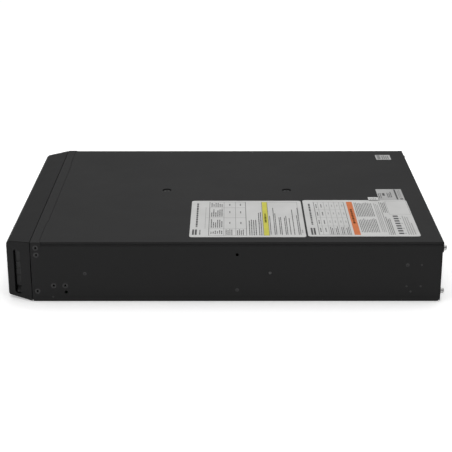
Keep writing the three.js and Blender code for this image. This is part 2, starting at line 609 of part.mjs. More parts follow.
// ---------------------------------------------------------------- bezel
// Moulded shell: tapered ends with a finger recess in each, rounded top front edge, air slots, the
// display window, a pry notch at each end of the seam, and four clips that enter the front frame.
const END_TAPER = 17; // how far each end comes in from seam to front
const TOP_TAPER = 3.4; // how far the top and the underside come in
const CROWN_R = 5.5; // top front edge
const LOWER_R = 3; // bottom front edge
const LIFT = 0.5; // the bezel's underside stays clear of the surface below
const BEZEL_WALL = 2.4;
const GRIP = { y: [-25, -15.5], z: [8, 71], floor: 192.5 };
const AIR = { x: [-182, 74], columns: 3, bar: 6, rows: 7, z0: 14, slot: 4.2, pitch: 8.4 };

// A quarter-round corner: points on an arc about (y, z) between two angles in degrees
const arcPoints = (y, z, r, from, to, steps = 5) =>
  Array.from({ length: steps + 1 }, (_, i) => {
    const t = THREE.MathUtils.degToRad(from + ((to - from) * i) / steps);
    return [y + r * Math.cos(t), z + r * Math.sin(t)];
  });

// The shell's outer form, taken in by an amount on every face: a plan outline with slanting ends, met by a
// side outline whose top and underside slope in towards the front.
function bezelForm(inset, back) {
  const endSlope = END_TAPER / BEZEL_DEPTH;
  const topSlope = TOP_TAPER / BEZEL_DEPTH;
  const tilt = THREE.MathUtils.radToDeg(Math.atan(topSlope));
  const steep = Math.hypot(1, topSlope); // from a face's thickness to its thickness along Z
  const front = -BEZEL_DEPTH + inset;
  const endX = (y) => HALF - inset * Math.hypot(1, endSlope) + y * endSlope;
  const topZ = (y) => HEIGHT - inset * steep + y * topSlope;
  const baseZ = (y) => LIFT + inset * steep - y * topSlope;
  const plan = [[-endX(back), back], [-endX(front), front], [endX(front), front], [endX(back), back]];
  const [crown, lower] = [CROWN_R - inset, LOWER_R - inset].map((r) => Math.max(r, 0.5));
  const profile = [
    [back, baseZ(back)],
    [back, topZ(back)],
    ...arcPoints(front + crown, topZ(front + crown) - crown * steep, crown, 90 + tilt, 180),
    ...arcPoints(front + lower, baseZ(front + lower) + lower * steep, lower, 180, 270 - tilt),
  ];
  return slabXY(plan, [-1, HEIGHT + 1]).intersect(slabYZ(profile, [-HALF - 1, HALF + 1]));
}

function bezelShell() {
  const outer = bezelForm(0, -GAP);
  const pocketWall = outer.intersect(
    box([GRIP.floor - BEZEL_WALL, HALF], [GRIP.y[0] - 2, GRIP.y[1] + 2], [GRIP.z[0] - 2, GRIP.z[1] + 2]));
  const pocket = box([GRIP.floor, HALF + 1], GRIP.y, GRIP.z);
  const clips = CLIP.zs.map((z) => join(
    box([CLIP.x - 2, CLIP.x + 1.5], [-12, 6], [z - 3.5, z + 3.5]),
    box([CLIP.x - 2, HALF - 4.5], [-6, -1.5], [z - 1, z + 1])));
  const pryNotch = box([HALF - 12, HALF + 1], [-1.2, 1], [27, 58]);
  const columnWide = (AIR.x[1] - AIR.x[0] - AIR.bar * (AIR.columns - 1)) / AIR.columns;
  const slots = Array.from({ length: AIR.columns * AIR.rows }, (_, i) => {
    const x = AIR.x[0] + (i % AIR.columns) * (columnWide + AIR.bar);
    const z = AIR.z0 + Math.floor(i / AIR.columns) * AIR.pitch;
    return box([x, x + columnWide], [-BEZEL_DEPTH - 1, -BEZEL_DEPTH + 4], [z, z + AIR.slot]);
  });
  const window = box(
    [POD.x[0] - WINDOW_GAP, POD.x[1] + WINDOW_GAP], [-BEZEL_DEPTH - 1, -BEZEL_DEPTH + 6],
    [POD.axisZ - POD.reach - 1.2, POD.axisZ + POD.top + 1.5]);
  const shell = join(cut(outer, bezelForm(BEZEL_WALL, 1)), ...bothSides(pocketWall));
  const openings = [...bothSides(pocket), ...bothSides(pryNotch), window, ...slots];
  return cut(join(shell, ...clips.flatMap(bothSides)), ...openings);
}

piece(bezel, "bezel", bezelShell(), bezelPlastic);

// ---------------------------------------------------------------- display
// Bracket on the front frame: a back plate with an arm and a pivot pin on each side of the pod.
function displayBracket() {
  const [x0, x1] = [POD.x[0] - 1, POD.x[1] + 1];
  const { axisY, axisZ } = POD;
  const arm = (xa, xb) => join(
    box([xa, xb], [axisY - 4, FRAME_Y[0] - GAP], [axisZ - 12, axisZ + 5]),
    box([xa, xb], [-3, FRAME_Y[0] - GAP], [14, axisZ + 5]));
  const pins = [
    barX(axisY, axisZ, 1.8, [x0 - 1.6, POD.x[0] + 3], 12),
    barX(axisY, axisZ, 1.8, [POD.x[1] - 3, x1 + 1.6], 12)];
  const plate = box([x0 - 2, x1 + 2], [-1.2 - GAP, FRAME_Y[0] - GAP - 0.2], [14, axisZ + 5]);
  return cut(join(arm(x0 - 2, x0), arm(x1, x1 + 2), ...pins, plate),
    box([112, 154], [-4, 3], [34, 50]));
}

piece(chassis, "display_bracket", displayBracket(), zinc);

// The pod and its parts are written about the tilt axis. Its underside is an arc about that axis, so it
// keeps the same gap to the window's lower edge as it swings.
const faceY = POD.face - POD.axisY;
const LENS = { x: [93, 155], z: [-39, -2.5] };
const BUTTON_NAMES = ["escape", "up", "down", "ok"];
const BUTTON_ROW = { z: [-53.2, -44.6], x0: 94.5, wide: 13, pitch: 16 };
const POWER = { x: 166.5, z: -13, r: 6.5 };
const SIDE_SLACK = 0.4; // round each button

function podForm(inset, back) {
  const front = faceY + inset;
  const reach = POD.reach - inset;
  const arc = Array.from({ length: 7 }, (_, i) => {
    const y = front + ((back - front) * i) / 6;
    return [y, -Math.sqrt(reach * reach - y * y)];
  });
  const top = POD.top - inset;
  const outline = [...arc, [back, top], [front + 4, top], [front, top - 4]];
  return slabYZ(outline, [POD.x[0] + inset, POD.x[1] - inset]);
}

const buttonSpans = BUTTON_NAMES.map((_, i) => {
  const x = BUTTON_ROW.x0 + i * BUTTON_ROW.pitch;
  return [x, x + BUTTON_ROW.wide];
});

function displayHousing() {
  const back = POD.back - POD.axisY;
  const through = [faceY - 1, faceY + POD.wall + 1];
  const grow = ([a, b]) => [a - SIDE_SLACK, b + SIDE_SLACK];
  return cut(
    podForm(0, back),
    podForm(POD.wall, back + 1),
    barX(0, 0, 2.2, [POD.x[0] - 1, POD.x[1] + 1], 12),
    box(grow(LENS.x), [faceY - 1, faceY + 1.3], grow(LENS.z)),
    box([LENS.x[0] + 3, LENS.x[1] - 3], through, [LENS.z[0] + 3, LENS.z[1] - 3]),
    ...buttonSpans.map((span) => box(grow(span), through, grow(BUTTON_ROW.z))),
    barY(POWER.x, POWER.z, POWER.r + SIDE_SLACK, through, 20));
}

const BUTTON_OUT = -BEZEL_DEPTH - POD.axisY; // button faces lie in the bezel's front plane
const flangeY = [faceY + POD.wall + GAP, faceY + POD.wall + GAP + 1.4];

function rowButton([x0, x1]) {
  const [z0, z1] = BUTTON_ROW.z;
  return join(
    slabXZ(roundedCorners([x0, x1], [z0, z1], 1.5, 2), [BUTTON_OUT, flangeY[1]]),
    box([x0 - 1, x1 + 1], flangeY, [z0 + 0.5, z1 + 1]));
}

piece(display, "display_housing", displayHousing(), bezelPlastic);
piece(display, "display_window", box(LENS.x, [faceY, faceY + 1], LENS.z), lens);
piece(display, "display_board", box([91, 175], [2.2, 3.8], [-48, -5]), fibreglass);
BUTTON_NAMES.forEach((name, i) => piece(display, `${name}_button`, rowButton(buttonSpans[i]), knob));
piece(display, "power_button", join(
  barY(POWER.x, POWER.z, POWER.r, [BUTTON_OUT, flangeY[1]], 20),
  barY(POWER.x, POWER.z, POWER.r + 1.6, flangeY, 20)), knob);

export default ups;
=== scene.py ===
# %% [markdown]
# # A rack-mount uninterruptible power supply
# This file dresses a working model of a two-unit power supply: a folded black steel chassis with a lid, a
# moulded bezel at the front, a battery drawer behind it and sockets at the rear. The model already fixes
# every size and every moving part. Here each visible piece gets its fine shape and its finish.

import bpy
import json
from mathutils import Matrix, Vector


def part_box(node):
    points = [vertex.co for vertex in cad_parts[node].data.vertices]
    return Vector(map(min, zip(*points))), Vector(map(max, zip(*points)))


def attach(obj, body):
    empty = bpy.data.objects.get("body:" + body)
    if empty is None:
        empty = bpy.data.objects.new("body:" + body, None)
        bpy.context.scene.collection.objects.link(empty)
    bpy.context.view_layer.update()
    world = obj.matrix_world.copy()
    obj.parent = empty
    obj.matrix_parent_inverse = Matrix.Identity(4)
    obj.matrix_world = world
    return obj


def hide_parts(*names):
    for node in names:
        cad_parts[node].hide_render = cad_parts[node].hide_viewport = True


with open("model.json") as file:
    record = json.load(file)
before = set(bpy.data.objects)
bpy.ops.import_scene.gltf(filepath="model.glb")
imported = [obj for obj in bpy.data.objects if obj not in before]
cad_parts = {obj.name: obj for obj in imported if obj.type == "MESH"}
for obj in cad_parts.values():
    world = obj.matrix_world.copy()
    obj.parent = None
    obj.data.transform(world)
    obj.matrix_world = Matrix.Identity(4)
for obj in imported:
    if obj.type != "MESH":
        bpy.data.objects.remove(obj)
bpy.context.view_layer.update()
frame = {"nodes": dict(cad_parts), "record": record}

# %% [markdown]
# Blender works in metres, and a maker of sheet metal works in millimetres, measured from one datum edge.
# The datum here is the seam between the bezel and the chassis. Pieces are drawn in millimetres from it,
# and one matrix carries them into the frame. That keeps every number in this file a size one could measure.

# %% Units and the datum
import json
import math
import random

import bmesh
import bpy
from mathutils import Matrix, Vector

MM = 0.001
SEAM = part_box("chassis_tray")[0].y
TO_FRAME = Matrix.Translation((0, SEAM, 0)) @ Matrix.Scale(MM, 4)


def size_mm(node):
    """A node's corners in millimetres from the seam."""
    inverse = TO_FRAME.inverted()
    low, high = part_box(node)
    return inverse @ low, inverse @ high


TRAY_LOW, TRAY_HIGH = size_mm("chassis_tray")
LID_LOW, LID_HIGH = size_mm("top_cover")
PANEL_HIGH = size_mm("rear_panel")[1]
HALF = TRAY_HIGH.x  # from the middle to the outside of a side wall
HEIGHT = TRAY_HIGH.z
SEAT = 81.0  # the side walls end here, and the lid sits on them
SHEET = 1.2  # thickness of the sheet steel
print("chassis", [round(v, 1) for v in TRAY_HIGH - TRAY_LOW], "mm")

# %% [markdown]
# The camera comes before the looks. A long lens a long way off keeps the box's edges nearly parallel, as in a
# catalogue picture. Its place and its three turns are plain numbers, found by matching the edges of the
# chassis.

# %% Camera
LENS_MM = 98.45
CAMERA_AT = Vector((1.7503, SEAM + 0.2646, 0.6618))
PITCH = math.radians(19.84)
YAW = math.radians(-0.15)
ROLL = math.radians(-0.08)

forward = Vector((-math.cos(YAW) * math.cos(PITCH), math.sin(YAW) * math.cos(PITCH), -math.sin(PITCH)))
camera = bpy.data.objects.new("camera", bpy.data.cameras.new("camera"))
bpy.context.scene.collection.objects.link(camera)
camera.data.lens = LENS_MM
camera.data.sensor_width = 36
camera.data.clip_end = 60
turn = forward.to_track_quat("-Z", "Y").to_matrix().to_4x4()
camera.matrix_world = Matrix.Translation(CAMERA_AT) @ turn @ Matrix.Rotation(ROLL, 4, "Z")
bpy.context.scene.camera = camera
print("camera", round(CAMERA_AT.length, 3), "m from the origin")

# %% [markdown]
# A black object on white is lit by large soft sources, because black paint shows only what it reflects. One
# wide panel overhead makes the lid lighter than the sides, and weaker panels fill the sides. The world adds
# a little even light from everywhere, which stops the holes and gaps from going quite dead.

# %% Light and floor
FLOOR_SIZE = 40.0


def soft_panel(name, at, towards, size, watts):
    """A rectangular area light that faces a point."""
    light = bpy.data.lights.new(name, "AREA")
    light.shape = "RECTANGLE"
    light.size, light.size_y = size
    light.energy = watts
    lamp = bpy.data.objects.new(name, light)
    lamp.location = at
    lamp.rotation_euler = (Vector(towards) - Vector(at)).to_track_quat("-Z", "Y").to_euler()
    bpy.context.scene.collection.objects.link(lamp)
    return lamp


soft_panel("overhead_panel", (-0.3, 0.0, 2.6), (0, 0, 0), (3.2, 3.2), 62)
soft_panel("side_panel", (3.2, -0.6, 1.5), (0, 0, 0.05), (2.2, 1.6), 1)
soft_panel("front_panel", (0.6, -3.0, 1.4), (0, 0, 0.05), (2.4, 1.4), 9)
soft_panel("far_floor_panel", (-3.6, 0, 2.6), (-3.6, 0, 0), (4.0, 2.0), 12)
soft_panel("rear_panel_light", (-0.8, 3.0, 1.6), (0, 0, 0.05), (2.4, 1.4), 9)

world = bpy.data.worlds.new("studio")
world.use_nodes = True
world.node_tree.nodes["Background"].inputs["Color"].default_value = (1, 1, 1, 1)
world.node_tree.nodes["Background"].inputs["Strength"].default_value = 0.3
bpy.context.scene.world = world
bpy.context.scene.view_settings.view_transform = "Standard"

floor_mesh = bmesh.new()
bmesh.ops.create_grid(floor_mesh, x_segments=1, y_segments=1, size=FLOOR_SIZE / 2)
floor_data = bpy.data.meshes.new("floor")
floor_mesh.to_mesh(floor_data)
floor = bpy.data.objects.new("floor", floor_data)
floor.location.z = -0.0002
bpy.context.scene.collection.objects.link(floor)
paper = bpy.data.materials.new("white_sweep")
paper.use_nodes = True
sweep = paper.node_tree.nodes["Principled BSDF"]
sweep.inputs["Base Color"].default_value = (0.9, 0.9, 0.9, 1)
sweep.inputs["Roughness"].default_value = 0.95
sweep.inputs["Specular IOR Level"].default_value = 0.1
sweep.inputs["Emission Color"].default_value = (1, 1, 1, 1)
sweep.inputs["Emission Strength"].default_value = 0.36
floor_data.materials.append(paper)
print("floor", FLOOR_SIZE, "m across")

# %% [markdown]
# Each finish is a small node graph. Most surfaces of real equipment differ in three ways: a colour that
# drifts a little over the part, a gloss that drifts too, and a fine relief that the light catches. One
# builder makes all three from noise, and each finish chooses their strength and their scale. The relief is
# the part that matters: powder coat has a pebbled skin, moulded plastic a spark-eroded one, and rolled
# steel has fine lines in one direction.

# %% Finish builder
def new_finish(name):
    material = bpy.data.materials.new(name)
    material.use_nodes = True
    nodes = material.node_tree.nodes
    return material, nodes, material.node_tree.links, nodes["Principled BSDF"]


def noise_at(nodes, links, scale, detail=3.0, stretch=(1, 1, 1)):
    """Noise in the row frame, in turns per metre, longer along a direction where stretch is small."""
    where = nodes.new("ShaderNodeTexCoord")
    mapping = nodes.new("ShaderNodeMapping")
    mapping.inputs["Scale"].default_value = stretch
    noise = nodes.new("ShaderNodeTexNoise")
    noise.inputs["Scale"].default_value = scale
    noise.inputs["Detail"].default_value = detail
    links.new(where.outputs["Object"], mapping.inputs["Vector"])
    links.new(mapping.outputs["Vector"], noise.inputs["Vector"])
    return noise.outputs["Fac"]


def between(nodes, links, factor, low, high):
    """A value that runs from low to high as the factor does."""
    spread = nodes.new("ShaderNodeMapRange")
    spread.inputs["From Min"].default_value = 0.3
    spread.inputs["From Max"].default_value = 0.7
    spread.inputs["To Min"].default_value = low
    spread.inputs["To Max"].default_value = high
    links.new(factor, spread.inputs["Value"])
    return spread.outputs["Result"]


def tint(nodes, links, factor, dark, light):
    """A colour between two, chosen by the factor."""
    ramp = nodes.new("ShaderNodeValToRGB")
    ramp.color_ramp.elements[0].position = 0.3
    ramp.color_ramp.elements[1].position = 0.7
    ramp.color_ramp.elements[0].color = (*dark, 1)
    ramp.color_ramp.elements[1].color = (*light, 1)
    links.new(factor, ramp.inputs["Fac"])
    return ramp.outputs["Color"]


def relief(nodes, links, shader, height, depth_mm, strength=1.0):
    """Turns a height between 0 and 1 into a bump of that depth."""
    bump = nodes.new("ShaderNodeBump")
    bump.inputs["Strength"].default_value = strength
    bump.inputs["Distance"].default_value = depth_mm * MM
    links.new(height, bump.inputs["Height"])
    links.new(bump.outputs["Normal"], shader.inputs["Normal"])


def skin(name, dark, light, gloss, metal=0.0, drift=14, grain=900, depth=0.02, stretch=(1, 1, 1),
         specular=0.5):
    """The common finish: drifting colour and roughness over a fine relief."""
    material, nodes, links, shader = new_finish(name)
    patches = noise_at(nodes, links, drift, 4.0)
    links.new(tint(nodes, links, patches, dark, light), shader.inputs["Base Color"])
    links.new(between(nodes, links, patches, *gloss), shader.inputs["Roughness"])
    relief(nodes, links, shader, noise_at(nodes, links, grain, 2.0, stretch), depth)
    shader.inputs["Metallic"].default_value = metal
    shader.inputs["Specular IOR Level"].default_value = specular
    return material


# %% [markdown]
# Black powder coat is sprayed dry and baked, so it flows into a fine pebble about half a millimetre across.
# It is very dark, with a broad soft sheen. The folds get a second paint, a little lighter and glossier, which
# the bevel puts on the faces that it makes: its lighter colour is a painted highlight along every edge.

# %% Powder coat
def powder_coat(name, dark, light, gloss, specular):
    material, nodes, links, shader = new_finish(name)
    patches = noise_at(nodes, links, 9, 5.0)
    pebble = noise_at(nodes, links, 1700, 1.5)
    links.new(tint(nodes, links, patches, dark, light), shader.inputs["Base Color"])
    links.new(between(nodes, links, patches, *gloss), shader.inputs["Roughness"])
    relief(nodes, links, shader, pebble, 0.03, 0.5)
    shader.inputs["Specular IOR Level"].default_value = specular
    return material


PAINT = powder_coat("black_powder_coat", (0.0115, 0.0115, 0.0117), (0.0135, 0.0135, 0.0137), (0.46, 0.54),
                    0.14)
# painted highlight: a lighter, glossier coat that the bevel puts on the folds, for the light the edges catch
EDGE_HIGHLIGHT_PAINT = powder_coat("painted_highlight_powder_coat", (0.02, 0.02, 0.0202), (0.026, 0.026, 0.0262), (0.36, 0.44),
                         0.32)
print("powder coat ready")

# %% [markdown]
# The rest of the finishes follow from the same few parts. Plated and drawn metals are noise stretched along
# one direction, which reads as rolling lines. Boards and labels have a pattern of their own.

# %% Plastics, metals and other plain finishes
BEZEL_PLASTIC = skin("bezel_plastic", (0.0085, 0.0085, 0.0087), (0.0105, 0.0105, 0.0107), (0.42, 0.5),
                     grain=2400, depth=0.02, specular=0.12)
# painted highlight: a lighter, glossier plastic that the bevel puts on the bezel's edges
BEZEL_EDGE_HIGHLIGHT = skin("painted_highlight_bezel_edge", (0.02, 0.02, 0.0202), (0.026, 0.026, 0.0262), (0.28, 0.34),
                  grain=2400, depth=0.01, specular=0.5)
# painted light: a paler plastic for the finger pads and scoops, standing in for light on the floor of each
# slot
PAINTED_LIGHT_GRIP = skin("painted_light_grip", (0.03, 0.03, 0.0305), (0.036, 0.036, 0.0365), (0.5, 0.6), grain=2000,
                    depth=0.02)
NYLON = skin("black_nylon", (0.008, 0.008, 0.008), (0.012, 0.012, 0.012), (0.38, 0.5), grain=1500,
             depth=0.015)
BUTTON = skin("button_plastic", (0.055, 0.057, 0.06), (0.065, 0.067, 0.07), (0.42, 0.5), grain=2600,
              depth=0.012)
ZINC = skin("zinc_plate", (0.5, 0.505, 0.5), (0.62, 0.62, 0.6), (0.26, 0.4), metal=1.0, drift=45, grain=700,
            depth=0.006, stretch=(1, 0.05, 1))
DARK_ZINC = skin("dark_zinc_plate", (0.16, 0.162, 0.165), (0.22, 0.222, 0.225), (0.34, 0.46), metal=0.9,
                 drift=45,
                 grain=700, depth=0.02)
SCREW_ZINC = skin("zinc_screw", (0.34, 0.34, 0.335), (0.46, 0.46, 0.455), (0.22, 0.34), metal=1.0,
                  drift=300, depth=0.01)
NICKEL = skin("bright_screw", (0.62, 0.62, 0.61), (0.74, 0.74, 0.73), (0.18, 0.3), metal=1.0, drift=300,
              grain=1800, depth=0.006)
DULL_STEEL = skin("dull_rivet", (0.05, 0.05, 0.05), (0.075, 0.075, 0.074), (0.4, 0.5), metal=0.6, drift=400,
                  grain=2500, depth=0.01)
BLACK_STEEL = skin("blackened_screw", (0.012, 0.012, 0.012), (0.02, 0.02, 0.02), (0.3, 0.42), metal=0.35,
                   drift=400, grain=2500, depth=0.01)
ALUMINIUM = skin("anodised_aluminium", (0.55, 0.56, 0.57), (0.66, 0.67, 0.68), (0.3, 0.42), metal=1.0,
                 drift=30,
                 grain=900, depth=0.008, stretch=(1, 0.03, 1))
CASE = skin("battery_case", (0.028, 0.03, 0.033), (0.036, 0.038, 0.042), (0.5, 0.62), grain=1100, depth=0.03)
COPPER = skin("enamelled_copper", (0.36, 0.12, 0.045), (0.5, 0.18, 0.07), (0.2, 0.32), metal=0.9, drift=60,
              grain=900, depth=0.05, stretch=(1, 1, 0.1))
SLEEVE = skin("capacitor_sleeve", (0.012, 0.02, 0.07), (0.016, 0.028, 0.09), (0.14, 0.22), grain=400,
              depth=0.01)
BRASS = skin("contact_brass", (0.6, 0.42, 0.17), (0.7, 0.5, 0.22), (0.25, 0.35), metal=1.0, drift=200,
             grain=2000, depth=0.004)
RUBBER_RED = skin("red_wire", (0.3, 0.012, 0.01), (0.38, 0.018, 0.014), (0.38, 0.46), grain=1200, depth=0.01)
RUBBER_BLACK = skin("black_wire", (0.01, 0.01, 0.01), (0.016, 0.016, 0.016), (0.38, 0.46), grain=1200,
                    depth=0.01)
LABEL = skin("label_stock", (0.5, 0.5, 0.492), (0.56, 0.56, 0.552), (0.42, 0.5), drift=25, grain=1500,
             depth=0.006)
LABEL_GREY = skin("grey_label_stock", (0.34, 0.34, 0.337), (0.4, 0.4, 0.396), (0.36, 0.44), drift=25,
                  grain=1500,
                  depth=0.006)
INK = skin("black_print", (0.02, 0.02, 0.021), (0.045, 0.045, 0.046), (0.4, 0.5), drift=600, grain=2500,
           depth=0.004)
SOFT_INK = skin("grey_print", (0.2, 0.2, 0.2), (0.26, 0.26, 0.26), (0.42, 0.5), drift=600, grain=2500,
                depth=0.004)
YELLOW = skin("yellow_print", (0.48, 0.46, 0.03), (0.56, 0.53, 0.045), (0.4, 0.48), drift=120, grain=2000,
              depth=0.004)
ORANGE = skin("orange_print", (0.52, 0.12, 0.016), (0.6, 0.145, 0.022), (0.4, 0.48), drift=120, grain=2000,
              depth=0.004)
BROWN = skin("brown_print", (0.1, 0.035, 0.012), (0.14, 0.05, 0.018), (0.4, 0.48), drift=600, grain=2500,
             depth=0.004)
WHITE_PRINT = skin("pale_print", (0.42, 0.43, 0.44), (0.5, 0.51, 0.52), (0.45, 0.55), drift=400, grain=2500,
                   depth=0.004)
print(len(bpy.data.materials), "finishes so far")


# %% [markdown]
# A circuit board is glass cloth under green resist, with the copper tracks showing through as lighter lines.
# A brick texture gives the straight tracks, and fine waves in both directions give the cloth.

# %% Circuit board and display glass
def circuit_board():
    material, nodes, links, shader = new_finish("circuit_board")
    where = nodes.new("ShaderNodeTexCoord")
    tracks = nodes.new("ShaderNodeTexBrick")
    tracks.inputs["Scale"].default_value = 60
    tracks.inputs["Mortar Size"].default_value = 0.035
    tracks.inputs["Color1"].default_value = (0.008, 0.07, 0.026, 1)
    tracks.inputs["Color2"].default_value = (0.01, 0.085, 0.03, 1)
    tracks.inputs["Mortar"].default_value = (0.03, 0.17, 0.06, 1)
    weave = nodes.new("ShaderNodeTexWave")
    weave.inputs["Scale"].default_value = 900
    links.new(where.outputs["Object"], tracks.inputs["Vector"])
    links.new(where.outputs["Object"], weave.inputs["Vector"])
    links.new(tracks.outputs["Color"], shader.inputs["Base Color"])
    shader.inputs["Roughness"].default_value = 0.3
    relief(nodes, links, shader, weave.outputs["Fac"], 0.01)
    return material


def display_glass():
    material, nodes, links, shader = new_finish("display_glass")
    smear = noise_at(nodes, links, 60, 4.0)
    links.new(tint(nodes, links, smear, (0.003, 0.004, 0.005), (0.005, 0.006, 0.008)),
              shader.inputs["Base Color"])
    links.new(between(nodes, links, smear, 0.05, 0.12), shader.inputs["Roughness"])
    shader.inputs["Coat Weight"].default_value = 0.6
    shader.inputs["Coat Roughness"].default_value = 0.04
    return material


BOARD = circuit_board()
GLASS = display_glass()
LCD = skin("liquid_crystal", (0.05, 0.075, 0.07), (0.06, 0.09, 0.085), (0.12, 0.2), drift=80, grain=3000,
           depth=0.002)
print("board and glass ready")

# %% [markdown]
# A model from a CAD program has razor edges. Real folds and mouldings have a small radius, and that radius
# is what catches a highlight. Three modifiers do it without touching the mesh: Decimate in planar mode merges
# the triangles of each flat face, Bevel rounds what is left, and Weighted Normal keeps the flats flat.

# %% Soft edges
# finishes whose bevel faces get a painted highlight, a lighter and glossier paint
EDGE_HIGHLIGHTS = {"black_powder_coat": EDGE_HIGHLIGHT_PAINT, "bezel_plastic": BEZEL_EDGE_HIGHLIGHT}


def soften(obj, width=0.35, segments=2, merge=True):
    if merge:
        flat = obj.modifiers.new("merge_flats", "DECIMATE")
        flat.decimate_type = "DISSOLVE"
        flat.angle_limit = math.radians(1.0)
    bevel = obj.modifiers.new("edge_radius", "BEVEL")
    bevel.width = width * MM
    bevel.segments = segments
    bevel.limit_method = "ANGLE"
    bevel.angle_limit = math.radians(40)
    bevel.miter_outer = "MITER_ARC"
    # the new bevel faces take the lighter finish: a painted highlight along the edges
    highlight_finish = EDGE_HIGHLIGHTS.get(obj.data.materials[0].name)
    if highlight_finish:
        obj.data.materials.append(highlight_finish)
        bevel.material = 1
    for face in obj.data.polygons:
        face.use_smooth = True
    normal = obj.modifiers.new("flat_normals", "WEIGHTED_NORMAL")
    normal.keep_sharp = True
    return obj


FINISH_OF_SLOT = {
    "chassis_paint": PAINT, "bezel_plastic": BEZEL_PLASTIC, "zinc_steel": ZINC, "heat_sink": ALUMINIUM,
    "circuit_board": BOARD, "black_plastic": NYLON, "battery_case": CASE, "winding": COPPER,
    "capacitor_sleeve": SLEEVE, "label": LABEL, "display_lens": GLASS, "button_plastic": BUTTON,
}
FINISH_OF_NODE = {"battery_door": DARK_ZINC, "display_bracket": BLACK_STEEL}
EDGE_WIDTH = {"battery_case": 1.2, "winding": 2.0, "capacitor_sleeve": 1.5, "button_plastic": 0.5,
              "circuit_board": 0.2}
for part in frame["record"]["subparts"]:
    node = frame["nodes"][part["node"]]
    node.data.materials.clear()
    node.data.materials.append(FINISH_OF_NODE.get(part["node"], FINISH_OF_SLOT[part["material_slot"]]))
    soften(node, EDGE_WIDTH.get(part["material_slot"], 0.3))
print("finished", len(frame["nodes"]), "nodes from the frame")


# %% [markdown]
# New pieces are drawn with bmesh, Blender's mesh library. A few verbs cover nearly everything on this
# object: a prism pushes an outline along an axis, a turned shape spins a profile, and a cut takes one solid
# out of another with the exact boolean solver. Each works in millimetres from the seam.

# %% Drawing tools
def prism(mesh, outline, axis, low, high):
    """A closed solid: the outline's two numbers are the other two axes, in X, Y, Z order."""
    def corner(a, b, h):
        return {"x": (h, a, b), "y": (a, h, b), "z": (a, b, h)}[axis]
    ends = [[mesh.verts.new(corner(a, b, h)) for a, b in outline] for h in (low, high)]
    faces = [mesh.faces.new(ends[0]), mesh.faces.new(ends[1])]
    for i in range(len(outline)):
        j = (i + 1) % len(outline)
        faces.append(mesh.faces.new((ends[0][i], ends[0][j], ends[1][j], ends[1][i])))
    bmesh.ops.recalc_face_normals(mesh, faces=faces)
    return faces


def block(mesh, x, y, z):
    """A rectangular solid from its three ranges."""
    return prism(mesh, [(x[0], y[0]), (x[1], y[0]), (x[1], y[1]), (x[0], y[1])], "z", *z)


def turned(mesh, profile, at, axis, sides=24):
    """A solid of revolution from (radius, distance along the axis), with both ends on the axis."""
    frame_of_axis = Matrix.Translation(at) @ Vector(axis).to_track_quat("Z", "Y").to_matrix().to_4x4()
    rings = []
    for radius, height in profile:
        count = 1 if radius < 1e-6 else sides
        ring = [mesh.verts.new(frame_of_axis @ Vector((
            radius * math.cos(math.tau * k / sides), radius * math.sin(math.tau * k / sides), height)))
            for k in range(count)]
        rings.append(ring)
    faces = []
    for a, b in zip(rings, rings[1:]):
        for k in range(sides):
            quad = [a[k % len(a)], a[(k + 1) % len(a)], b[(k + 1) % len(b)], b[k % len(b)]]
            corners = list(dict.fromkeys(quad))
            if len(corners) > 2:
                faces.append(mesh.faces.new(corners))
    bmesh.ops.recalc_face_normals(mesh, faces=faces)
    return faces


def round_rectangle(a, b, radius, steps=4):
    """Corners of a rectangle with rounded corners, counter-clockwise."""
    centres = [(a[1] - radius, b[0] + radius, -90), (a[1] - radius, b[1] - radius, 0),
               (a[0] + radius, b[1] - radius, 90), (a[0] + radius, b[0] + radius, 180)]
    return [(u + radius * math.cos(math.radians(start + 90 * k / steps)),
             v + radius * math.sin(math.radians(start + 90 * k / steps)))
            for u, v, start in centres for k in range(steps + 1)]


def as_object(name, mesh):
    """A new object from a drawing in millimetres, placed in the frame."""
    bmesh.ops.transform(mesh, matrix=TO_FRAME, verts=mesh.verts)
    data = bpy.data.meshes.new(name)
    mesh.to_mesh(data)
    mesh.free()
    obj = bpy.data.objects.new(name, data)
    bpy.context.scene.collection.objects.link(obj)
    return obj


def combine(obj, drawing, operation="DIFFERENCE"):
    """Cuts a drawing out of an object, or joins it on, and keeps the result as the object's mesh."""
    tool = as_object("tool", drawing)
    change = obj.modifiers.new("combine", "BOOLEAN")
    change.operation = operation
    change.solver = "EXACT"
    change.use_self = True
    change.object = tool
    bpy.context.view_layer.update()
    result = bpy.data.meshes.new_from_object(obj.evaluated_get(bpy.context.evaluated_depsgraph_get()))
    obj.modifiers.clear()
    result.name = obj.name
    obj.data = result
    bpy.data.objects.remove(tool)
    return obj


def dress(obj, finish, body, edge=0.3, segments=2, replaces=()):
    """The last step of every piece: finish, edges, body, and the model's nodes that it replaces."""
    obj.data.materials.clear()
    obj.data.materials.append(finish)
    if edge:
        soften(obj, edge, segments)
    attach(obj, body)
    if replaces:
        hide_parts(*replaces)
    return obj


# %% [markdown]
# Sheet steel is bent on a press brake, so a fold is never sharp: the sheet's middle line turns through a
# small arc. Drawing that middle line and pushing it half a thickness to each side gives the true section
# of a folded part, and a prism of the section is the part.

